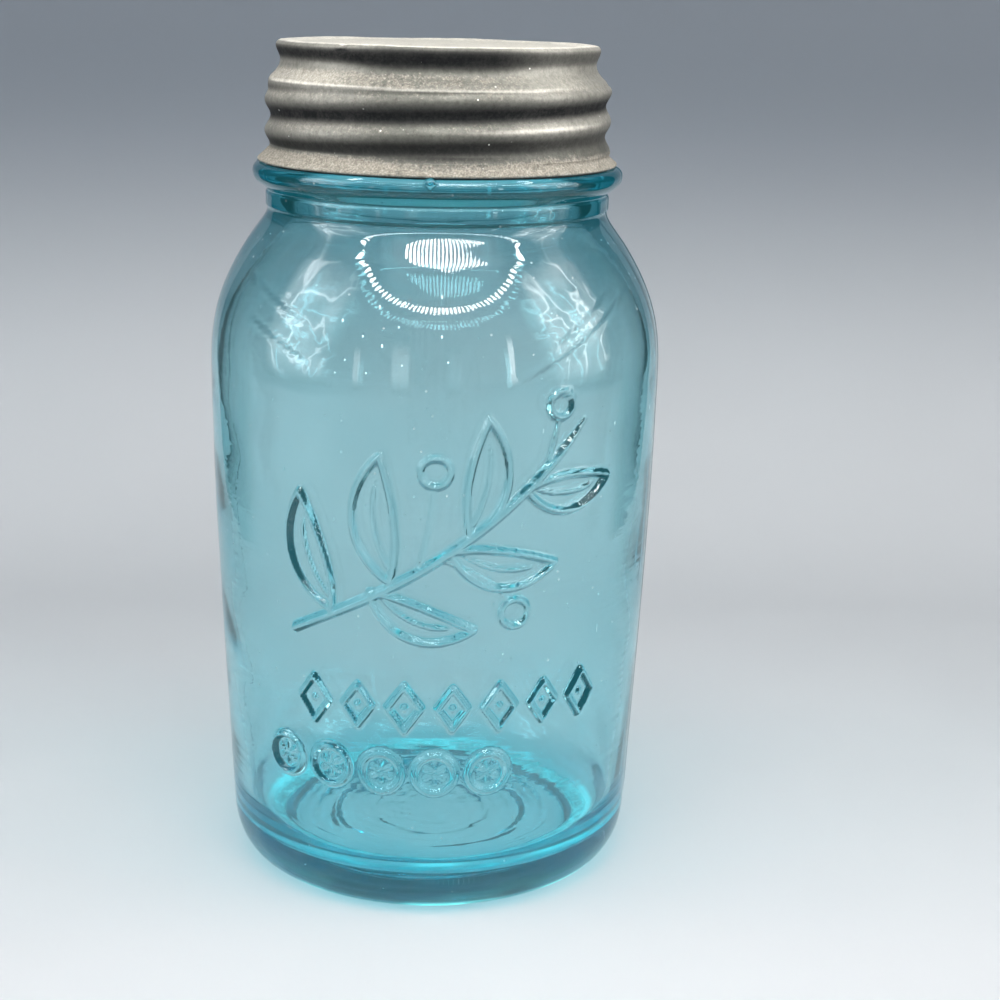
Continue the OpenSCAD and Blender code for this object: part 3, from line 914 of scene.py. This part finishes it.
def flare_r(z):
    t = 157.9 + D - z
    return 35.3 + (FLARE_R - 35.3) * np.power(np.maximum(0, t) / 2.8, 1.35) - 0.6 * np.maximum(0, -t)


def soft_max(a, b, k):
    h = np.maximum(0, k - np.abs(a - b)) / k
    return np.maximum(a, b) + h * h * k / 4


# meridian without the rolled thread: the thread is added as a displacement of the skirt
top_out = np.array([[0, T - PANEL], [15, T - PANEL], [30.2, T - PANEL], [31, T - PANEL * 0.55], [31.7, T]])
cap_segs = [
    ("panel", top_out),
    ("corner", np.vstack([[[31.7, T]], arc((32.9, T - 1.1), 1.1, 90, -20, 14)])),
    ("groove", np.array([[33.93, T - 1.48], [33.7, T - 2.1], [33.35, T - 2.9], [33.13, T - 3.6], [33.1, T - 4.2], [33.25, T - 4.9], [33.6, T - 5.6],
                         [34.2, T - 6.35], [35.15, T - 7.2], [35.62, T - 7.9]])),
    ("skirt", np.array([[35.62, T - 7.9], [35.68, T - 8.25], [36.0, 169.9 + D], [36.0, 158.6 + D]])),
    ("flare", np.stack([np.maximum(36.0, flare_r(np.linspace(158.6, 155.15, 14) + D)), np.linspace(158.6, 155.15, 14) + D], 1)),
    ("rim", np.array([[FLARE_R, 155.15 + D], [FLARE_R + 0.02, 154.95 + D], [FLARE_R - 0.15, 154.7 + D], [FLARE_R - 0.45, 154.64 + D],
                      [FLARE_R - 0.8, 154.75 + D], [FLARE_R - 1.0, 155.1 + D]])),
    ("in_flare", np.array([[FLARE_R - 1.0, 155.1 + D], [36.5, 156.2 + D], [35.55, 157.6 + D], [35.45, 158.6 + D]])),
    ("in_skirt", np.array([[35.45, 158.6 + D], [35.45, 169.9 + D], [35.13, T - 8.5]])),
    ("in_groove", np.array([[35.13, T - 8.5], [34.65, T - 7.5], [33.75, T - 6.7], [33.1, T - 5.9], [32.72, T - 5.1], [32.55, T - 4.2], [32.6, T - 3.5],
                            [32.85, T - 2.7], [33.15, T - 2.0], [33.35, T - 1.4]])),
    ("in_corner", arc((32.8, T - 1.15), 0.55, -20, 90, 8)),
    ("in_panel", np.array([[32.8, T - 0.6], [31.6, T - SHEET - 0.08], [30.5, T - PANEL - SHEET], [15, T - PANEL - SHEET], [0, T - PANEL - SHEET]])),
]
cap_path = Path(cap_segs, 0.13)
C = cap_path.mark
CREASE0, CREASE1, CREASE2 = 171.1, -0.10, 0.35   # height of the spun crease, bent along the front
dent = Waves(31, 0.10, [(7, 18, 60, 10, 1.0), (16, 8, 22, 10, 0.35)])
fine_dent = Waves(32, 0.018, [(60, 2.5, 8, 24, 1.0)])


def crease_z(th):
    """Height of the spun crease where the groove's cone meets the thread."""
    t = np.clip((np.degrees(th) + 90) / 50, -0.9, 1.1)
    return CREASE0 + D + CREASE1 * t + CREASE2 * t * t


def cap_disp(S, th, R, z):
    h = np.zeros_like(R)
    out_sk = (S >= C["skirt"]) & (S < C["rim"])
    in_sk = (S >= C["in_flare"]) & (S < C["in_groove"])
    w = np.cos(2 * np.pi * (z - CREST0) / PITCH - th)
    fade = np.where(w > 0, smooth(171.5 + D, 170.5 + D, z), smooth(171 + D, 168 + D, z))
    low = np.clip(soft_max(36.0 + 0.6 * w, flare_r(z), 0.5) - np.maximum(36.0, flare_r(z)), -0.6, 0.7)
    wav = np.where(z > 159.2 + D, 0.6 * w * fade, low * smooth(155.4 + D, 156.6 + D, z))
    h = h + np.where(out_sk, wav, 0.0) - np.where(in_sk, wav, 0.0)
    # the sheet was spun to a sharp crease where the top meets the thread; it fades to the right
    front = smooth(-165, -150, np.degrees(th)) * (1 - smooth(-75, -50, np.degrees(th)))
    h = h + np.where(out_sk | (S < C["skirt"]), 0.09 * front * np.exp(-((z - crease_z(th)) / 0.30) ** 2) * (R > 34.6), 0.0)
    # hand-worn sheet: both faces move together, so the sheet keeps its thickness
    side = np.where(S >= C["rim"] + 1.2, -1.0, 1.0)
    body = smooth(154.9 + D, 157 + D, z)
    dn = (dent(th, z) * 0.5 * body + fine_dent(th, z) * 0.5) * smooth(12, 26, R)
    # a knock in the top rim and a dished top
    du = ((th - math.radians(-124) + np.pi) % (2 * np.pi) - np.pi) * 33.5
    knock = -0.28 * np.exp(-(du / 0.75) ** 2) * smooth(T - 2.6, T - 0.9, z) * (R > 29)
    x, y = R * np.cos(th), R * np.sin(th)
    topw = smooth(T - 1.4, T - 0.95, z) * (R < 30.5)
    dish = (-0.13 * np.exp(-((x + 6) ** 2 + (y - 4) ** 2) / 260) + 0.035 * np.cos(x * 0.21 + 1) * np.cos(y * 0.17)) * topw
    h = h + side * (dn * (R > 20) * (1 - topw) + np.where(S < C["rim"], knock, knock * 0.5) + dish)
    return h


def from_front(th):
    """Degrees to the right of the cap's front, from -180 to 180."""
    return (np.degrees(th) + 88 + 180) % 360 - 180


def powder_attr(S, th, R, z):
    """How much pale oxide lies here, before the shader breaks it up."""
    a = np.zeros_like(R)
    left = 0.5 + 0.5 * np.cos(th - math.radians(-140))
    # flared rim
    top = 158.9 + D - 1.45 * np.exp(-((np.degrees(th) + 88) / 24) ** 2)
    a = a + 0.80 * (1 - smooth(top - 2.3, top, z)) * (S < C["in_flare"])
    # cone under the groove, more to the left of the front
    a = a + (0.29 + 0.44 * left ** 5) * smooth(174.9 + D, 173.4 + D, z) * smooth(170.9 + D, 171.6 + D, z) * (S < C["rim"])
    # upward slopes of the rolled thread
    w = np.sin(2 * np.pi * (z - CREST0) / PITCH - th)
    sk = (S >= C["skirt"]) & (S < C["rim"])
    a = a + np.where(sk, (0.10 + 0.22 * left) * np.clip(w, 0, 1) + 0.06, 0.0)
    a = a + np.where(S < C["corner"], 0.42 - 0.2 * smooth(29.5, 31, R), 0.0)
    a = np.where(S >= C["in_flare"], 0.12, a)
    return a


def painted_shade_attr(S, th, R, z):
    """Painted shade: dark bands in the groove and under each turn of the rolled thread, a dip at the front of the
    flare's top, and the knock in the top rim.
    """
    sk = (S >= C["skirt"]) & (S < C["flare"] + 0.5)
    ph = (np.degrees(2 * np.pi * (z - CREST0) / PITCH - th) - 90) % 360 - 270   # 0 at a crest, negative below it
    a = np.interp(ph, [-270, -235, -206, -172, -100, -76, -42, -8, 40, 90], [0.0, 0.42, 0.80, 1.0, 1.0, 0.9, 0.64, 0.36, 0.06, 0.0])
    b = np.interp(ph, [-270, -235, -206, -172, -100, -76, -42, -8, 40, 90], [0.0, 0.34, 0.70, 0.90, 0.92, 0.80, 0.46, 0.18, 0.02, 0.0])
    u = from_front(th)
    b = b * (1 - 0.12 * smooth(3, 48, u) * (1 - smooth(120, 172, u)))
    up = smooth(161.5 + D, 164.5 + D, z)
    a = b * (1 - up) + a * up
    low = 156.9 + D - 1.3 * np.exp(-((np.degrees(th) + 88) / 24) ** 2)
    a = np.where(sk, a * smooth(171.4 + D, 169.6 + D, z) * smooth(low, low + 1.9, z), 0.0)
    # painted shade in a dip at the front of the flare's top
    dip = np.exp(-((z - (158.2 + D)) / 0.8) ** 2) * np.exp(-((np.degrees(th) + 88) / 26) ** 2)
    a = np.maximum(a, 0.78 * dip * ((S >= C["skirt"]) & (S < C["flare"] + 3.0)))
    g = (S >= C["corner"]) & (S < C["skirt"])
    k = 0.45 * smooth(16, 44, np.abs(np.degrees(th) + 88))   # the groove's band is narrower away from the front
    zg = 177.9 + (z - D - 177.9) * (1 + k)
    a = a + (1 - 0.32 * smooth(13, 43, u) * (1 - smooth(120, 172, u))) * np.where(g, np.interp(zg, [174.0, 174.5, 175.1, 175.6, 176.2, 177.2, 177.9, 178.5, 179.0], [0, 0.3, 0.72, 0.92, 1, 1, 0.92, 0.7, 0]), 0.0)
    # painted shade in the knock on the top rim
    du = ((th - math.radians(-124) + np.pi) % (2 * np.pi) - np.pi) * 33.5
    a = a + 0.9 * np.exp(-(du / 0.9) ** 2) * (S < C["groove"]) * smooth(T - 0.5, T - 0.9, z) * (R > 32)
    return np.clip(a, 0, 1)


def painted_highlight_attr(S, th, R, z):
    """Painted highlights: bright thin lines at the crease, a patch on the thread, the skirt's sides and the top's edge.
    """
    deg = np.degrees(th)
    front = smooth(-172, -150, deg) * (1 - smooth(-62, -40, deg))
    out = 0.9 * front * np.exp(-((z - crease_z(th)) / 0.20) ** 2) * (R > 34.6) * (S < C["rim"])
    ph = (np.degrees(2 * np.pi * (z - CREST0) / PITCH - th) - 90) % 360 - 270
    sk = (S >= C["skirt"]) & (S < C["flare"])
    patch = smooth(-86, -64, deg) * (1 - smooth(-40, -18, deg)) * (z < 165 + D) * np.exp(-((ph - 34) / 26.0) ** 2)
    out = out + 0.62 * np.where(sk, patch, 0.0)
    u = from_front(th)
    side = smooth(14, 46, -u) * 0.22 * (1 - smooth(110, 165, -u)) + smooth(10, 40, u) * 0.30 * (1 - smooth(110, 165, u))
    out = out + np.where((S > C["corner"]) & (S < C["flare"]), side * smooth(158.6 + D, 161.5 + D, z), 0.0)
    out = out + np.where(S < C["corner"] + 1.7, 0.62 + 0.30 * smooth(29.0, 30.4, R), 0.0)
    return np.clip(out, 0, 1)


th_cap = angles([(-180, 180, 1.5)])
rows = cap_path.rows([("panel", 1.8), ("corner", 0.28), ("groove", 0.36), ("skirt", 0.36), ("flare", 0.3), ("rim", 0.22), ("in_flare", 0.6),
                      ("in_skirt", 0.55), ("in_groove", 0.7), ("in_corner", 0.5), ("in_panel", 3.0)])
rows[0] = rows[0][1:]
th_cin = angles([(-180, 180, 3.0)])
blocks = [(r, th_cap if i < 6 else th_cin) for i, r in enumerate(rows)]
cb = Builder()
revolve(cb, cap_path, blocks, cap_disp, {"powder": powder_attr, "soot": painted_shade_attr, "bare": painted_highlight_attr}, flip=True)
cap = cb.object("zinc_cap_shell", M_ZINC)
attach(cap, "cap")
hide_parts("zinc_cap")

# ---------------------------------------------------------------- opal liner
z0 = lin_lo.z / MM + 1.4
R1 = (lin_hi.x - lin_lo.x) / 2 / MM
lin_segs = [
    ("a", np.array([[0, z0 - 0.5], [12, z0 - 0.5], [12.8, z0 - 0.2], [23.2, z0 - 0.2], [24.0, z0 - 1.4], [28.1, z0 - 1.4], [28.6, z0 - 0.9], [28.6, z0],
                    [R1 - 0.95, z0], [R1 - 0.65, z0 + 0.3], [R1 - 0.65, z0 + 1.2], [R1, z0 + 1.5], [R1, z0 + 1.75], [R1 - 0.45, z0 + 2.2], [0, z0 + 2.2]])),
]
lin_path = Path(lin_segs, 0.16)
lw = Waves(51, 0.02, [(6, 8, 30, 10, 1.0)])
lb = Builder()
s = np.concatenate([np.arange(0.8, 11.4, 1.2), np.arange(11.4, 13.4, 0.25), np.arange(13.4, 22.6, 1.2), np.arange(22.6, 41.5, 0.25), np.arange(41.5, lin_path.length - 0.8, 1.3)])
revolve(lb, lin_path, [(s, angles([(-180, 180, 2.5)]))], lambda S, th, R, z: lw(th, z * 3 + R * 0.5) * smooth(2, 8, R))
liner = lb.object("opal_cap_liner", M_OPAL)
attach(liner, "liner")
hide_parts("opal_liner")

# ---------------------------------------------------------------- rubber ring
rz0, rz1 = ring_lo.z / MM, ring_hi.z / MM
rr1 = (ring_hi.x - ring_lo.x) / 2 / MM
rr0 = 34.1
rw = Waves(61, 0.05, [(9, 6, 20, 12, 1.0), (40, 3, 8, 12, 0.3)])
n_sec, n_th = 28, 200
rb = Builder()
sec = []
for k in range(n_sec):   # rounded rectangle section
    a = 2 * np.pi * k / n_sec
    ca, sa = math.cos(a), math.sin(a)
    q = 0.32
    sec.append((math.copysign(abs(ca) ** q, ca), math.copysign(abs(sa) ** q, sa)))
sec = np.array(sec)
th_r = np.linspace(-np.pi, np.pi, n_th, endpoint=False)
rings = []
P = np.zeros((n_sec, n_th, 3))
for k in range(n_sec):
    wv = rw(th_r, 3.0 * k / n_sec * 6.28)
    out_side = max(0.0, sec[k, 0])
    R = (rr0 + rr1) / 2 + sec[k, 0] * (rr1 - rr0) / 2 + wv * out_side - 0.05 * out_side
    z = (rz0 + rz1) / 2 + sec[k, 1] * (rz1 - rz0) / 2 - abs(wv) * max(0.0, sec[k, 1]) * 0.5
    P[k] = np.stack([R * np.cos(th_r), R * np.sin(th_r), np.broadcast_to(z, R.shape)], 1)
dk = np.roll(P, -1, 0) - np.roll(P, 1, 0)
dt = np.roll(P, -1, 1) - np.roll(P, 1, 1)
NN = unit(np.cross(dt, dk))
idx = [rb.add(P[k], NN[k]) for k in range(n_sec)]
for k in range(n_sec):
    rb.strip(idx[k], idx[(k + 1) % n_sec])
rubber = rb.object("rubber_sealing_ring", M_RUBBER)
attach(rubber, "jar")
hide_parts("rubber_ring")

# ---------------------------------------------------------------- stage: floor, lights, camera
fm, _, _ = material("floor_pale")
N = Nodes(fm)
o = N.new("ShaderNodeOutputMaterial")
d = N.new("ShaderNodeBsdfPrincipled")
fn = N.noise(N.coord(), 9, 3.0, 0.5)
pale = N.ramp(fn, [(0.3, (0.60, 0.625, 0.65)), (0.7, (0.63, 0.655, 0.68))])
pos = N.new("ShaderNodeSeparateXYZ")
N.l.new(N.coord(), pos.inputs[0])
# painted shade: the sheet's colour darkens from the floor up the wall, where less light falls
pale = N.mix(N.range(pos.outputs["Z"], 0.004, 0.17), pale, (0.19, 0.215, 0.25))
N.put(d.inputs["Base Color"], pale)
d.inputs["Roughness"].default_value = 0.65
back = N.new("ShaderNodeNewGeometry")
ray = N.new("ShaderNodeLightPath")
clear = N.new("ShaderNodeBsdfTransparent")
mixb = N.new("ShaderNodeMixShader")
N.put(mixb.inputs[0], N.math("MULTIPLY", back.outputs["Backfacing"], ray.outputs["Is Camera Ray"]))
N.l.new(d.outputs[0], mixb.inputs[1])
N.l.new(clear.outputs[0], mixb.inputs[2])
N.l.new(mixb.outputs[0], o.inputs["Surface"])


def link(me, name):
    o = bpy.data.objects.new(name, me)
    bpy.context.scene.collection.objects.link(o)
    return o


# one sheet: flat floor, a soft fold behind the jar, and a wall
prof = [(-1.6, -0.0002), (0.17, -0.0002)]
prof += [(0.17 + 0.14 * math.sin(a), 0.14 - 0.0002 - 0.14 * math.cos(a)) for a in np.linspace(0, math.pi / 2, 25)[1:]]
prof += [(0.31, 1.5)]
vs = [(x, y, z) for y, z in prof for x in (-1.8, 1.8)]
me = bpy.data.meshes.new("floor")
me.from_pydata(vs, [], [[2 * i, 2 * i + 1, 2 * i + 3, 2 * i + 2] for i in range(len(prof) - 1)])
me.polygons.foreach_set("use_smooth", [True] * len(me.polygons))
me.materials.append(fm)
link(me, "floor")


# two dark cards outside the picture, so that the clear edges have something dark to bend
dm, _, _ = material("dark_card")
N = Nodes(dm)
o = N.new("ShaderNodeOutputMaterial")
d = N.new("ShaderNodeBsdfDiffuse")
N.put(d.inputs["Color"], N.ramp(N.noise(N.coord(), 12, 3.0, 0.5), [(0.3, (0.012, 0.013, 0.016)), (0.7, (0.020, 0.021, 0.025))]))
geo = N.new("ShaderNodeNewGeometry")
sep = N.new("ShaderNodeSeparateXYZ")
N.l.new(geo.outputs["Incoming"], sep.inputs[0])
clear = N.new("ShaderNodeBsdfTransparent")
mixc = N.new("ShaderNodeMixShader")   # the cards stand there only for a picture from the front
turn = N.new("ShaderNodeVectorTransform")
turn.vector_type, turn.convert_from, turn.convert_to = "VECTOR", "WORLD", "CAMERA"
turn.inputs[0].default_value = (0, 1, 0)
tx = N.new("ShaderNodeSeparateXYZ")
N.l.new(turn.outputs[0], tx.inputs[0])
N.put(mixc.inputs[0], N.math("MULTIPLY", N.range(sep.outputs["Y"], -0.20, -0.42), N.range(N.math("ABSOLUTE", tx.outputs[0]), 0.14, 0.30, 1.0, 0.0)))
N.l.new(clear.outputs[0], mixc.inputs[1])
N.l.new(d.outputs[0], mixc.inputs[2])
N.l.new(mixc.outputs[0], o.inputs["Surface"])
for i, x in enumerate((-0.25, 0.27)):
    me = bpy.data.meshes.new("card_%d" % i)
    me.from_pydata([(x, 0.02, 0.0), (x, 0.29, 0.0), (x, 0.29, 0.42), (x, 0.02, 0.42)], [], [[0, 1, 2, 3]])
    me.materials.append(dm)
    card = link(me, "dark_card_%d" % i)
    card.visible_camera = False


def panel(name, loc, at, w, h, strength, color=(1, 1, 1), folds=0.0, edge=0.55, seed=0.0, ends=None):
    """A soft glowing sheet that fades at its edges and may have bright folds."""
    m, _, _ = material(name)
    N = Nodes(m)
    o = N.new("ShaderNodeOutputMaterial")
    e = N.new("ShaderNodeEmission")
    c = N.coord((2 / w, 2 / h, 1))
    sx = N.new("ShaderNodeSeparateXYZ")
    N.l.new(c, sx.inputs[0])
    f = N.math("MULTIPLY", N.range(N.math("ABSOLUTE", sx.outputs[0]), edge, 1.0, 1.0, 0.0), N.range(N.math("ABSOLUTE", sx.outputs[1]), ends or edge, 1.0, 1.0, 0.0))
    if folds:
        mp = N.new("ShaderNodeMapping")
        N.l.new(c, mp.inputs["Vector"])
        mp.inputs["Location"].default_value = (seed, seed * 1.7, 0)
        n = N.noise(mp.outputs["Vector"], 1.1, 2.5, 0.5, 0.6)
        line = N.range(N.math("ABSOLUTE", N.math("SUBTRACT", n, 0.5)), 0.0, 0.035, 1.0, 0.0)
        soft = N.range(N.noise(mp.outputs["Vector"], 1.7, 3.0, 0.5), 0.3, 0.7, 0.35, 1.15)
        f = N.math("MULTIPLY", f, N.math("ADD", soft, N.math("MULTIPLY", line, folds)))
    geo = N.new("ShaderNodeNewGeometry")
    f = N.math("MULTIPLY", f, N.math("SUBTRACT", 1.0, geo.outputs["Backfacing"]))
    N.put(e.inputs["Strength"], N.math("MULTIPLY", f, strength))
    e.inputs["Color"].default_value = tuple(color) + (1,)
    N.l.new(e.outputs[0], o.inputs["Surface"])
    me = bpy.data.meshes.new(name)
    me.from_pydata([(-w / 2, -h / 2, 0), (w / 2, -h / 2, 0), (w / 2, h / 2, 0), (-w / 2, h / 2, 0)], [], [[0, 1, 2, 3]])
    me.materials.append(m)
    ob = link(me, name)
    ob.location = loc
    ob.rotation_mode = "QUATERNION"
    ob.rotation_quaternion = (Vector(at) - Vector(loc)).to_track_quat("Z", "Y")
    ob.visible_camera = False
    return ob


panel("top_sheet", (0.02, -0.20, 0.78), (0, -0.02, 0.05), 0.80, 0.60, 1.15)
panel("left_sheet", (-0.50, -0.16, 0.32), (0, 0, 0.12), 0.44, 0.62, 3.1, (0.97, 0.985, 1.0), folds=2.2, seed=3.1)
panel("right_sheet", (0.52, -0.12, 0.32), (0, 0, 0.12), 0.44, 0.62, 4.0, (1.0, 0.99, 0.975), folds=2.2, seed=8.4)
panel("front_strip_a", (-0.50, -0.64, 0.17), (0, 0, 0.12), 0.05, 0.33, 3.4, edge=0.75, ends=0.35)
panel("front_strip_b", (-0.23, -0.78, 0.21), (0, 0, 0.12), 0.15, 0.42, 1.9, edge=0.6, ends=0.35)
panel("front_strip_c", (0.14, -0.80, 0.18), (0, 0, 0.12), 0.10, 0.34, 0.7, (0.8, 0.95, 1.0), edge=0.7, ends=0.35)
panel("front_strip_d", (0.50, -0.65, 0.235), (0, 0, 0.12), 0.045, 0.44, 8.4, edge=0.75, ends=0.35)

# a ring of small lamps over the jar, as a light tent has
rm, _, _ = material("lamp_ring")
N = Nodes(rm)
o = N.new("ShaderNodeOutputMaterial")
e = N.new("ShaderNodeEmission")
N.put(e.inputs["Strength"], N.math("MULTIPLY", N.attr("lamp"), 33.0))
e.inputs["Color"].default_value = (1.0, 0.99, 0.97, 1)
N.l.new(e.outputs[0], o.inputs["Surface"])
vs, fs, lv = [], [], []


def lamp_dot(c, er, et, k, dr=0.0062, dt=0.0021):
    base = len(vs)
    for q in range(8):
        b_ = 2 * np.pi * q / 8
        vs.append(tuple(c + er * dr * math.cos(b_) + et * dt * math.sin(b_)))
        lv.append(k)
    fs.append([base + q for q in range(8)][::-1])


for i in range(84):
    a = 2 * np.pi * i / 84
    p = np.array([0.008 + 0.130 * math.cos(a), -0.110 + 0.146 * math.sin(a), 0.300])
    er = np.array([0.146 * math.cos(a), 0.130 * math.sin(a), 0])
    er = er / np.linalg.norm(er)
    lamp_dot(p, er, np.array([-er[1], er[0], 0]), 1.0, dr=0.0080 + 0.0085 * max(0.0, -math.sin(a)) ** 2, dt=0.0029)
for i in range(46):
    lamp_dot(np.array([0.004 + 0.092 * (2 * i / 45 - 1), -0.081, 0.300]), np.array([0, 1, 0]), np.array([-1, 0, 0]), 1.0, dr=0.0022, dt=0.0015)
for i in range(21):
    u = 2 * i / 20 - 1
    q = 1 - u * u
    lamp_dot(np.array([0.016 + 0.062 * u, -0.106 - 0.021 * q, 0.300]), np.array([0, 1, 0]), np.array([-1, 0, 0]), 1.0, dr=0.004 + 0.021 * q, dt=0.0020)
me = bpy.data.meshes.new("lamp_ring")
me.from_pydata(vs, [], fs)
at = me.attributes.new("lamp", "FLOAT", "POINT")
at.data.foreach_set("value", np.array(lv, np.float32))
me.materials.append(rm)
lamp = link(me, "lamp_ring")
lamp.visible_camera = False

w = bpy.data.worlds.new("studio")
w.use_nodes = True
w.node_tree.nodes["Background"].inputs[0].default_value = (0.62, 0.66, 0.72, 1)
w.node_tree.nodes["Background"].inputs[1].default_value = 0.20
bpy.context.scene.world = w

cam = bpy.data.cameras.new("camera")
cam.sensor_width = 36.0
cam.lens = 36.0 * 1.861
cam.clip_start = 0.01
cam.clip_end = 20
co = bpy.data.objects.new("camera", cam)
phi, psi, rho = math.radians(15.31), math.radians(2.13), math.radians(1.31)
fwd = Vector((math.sin(psi) * math.cos(phi), math.cos(psi) * math.cos(phi), -math.sin(phi)))
right = Vector((math.cos(psi), -math.sin(psi), 0))
up = Vector((math.sin(psi) * math.sin(phi), math.cos(psi) * math.sin(phi), math.cos(phi)))
cr = right * math.cos(rho) + up * math.sin(rho)
cu = up * math.cos(rho) - right * math.sin(rho)
from mathutils import Matrix
rot = Matrix((cr, cu, -fwd)).transposed()
co.rotation_mode = "QUATERNION"
co.rotation_quaternion = rot.to_quaternion()
co.location = (0, -0.4018, 0.190)
bpy.context.scene.collection.objects.link(co)
bpy.context.scene.camera = co

sc = bpy.context.scene
sc.view_settings.view_transform = "Standard"
sc.cycles.max_bounces = 16
sc.cycles.transmission_bounces = 14
sc.cycles.glossy_bounces = 6
sc.cycles.transparent_max_bounces = 12
sc.cycles.sample_clamp_indirect = 8.0
sc.cycles.blur_glossy = 0.6
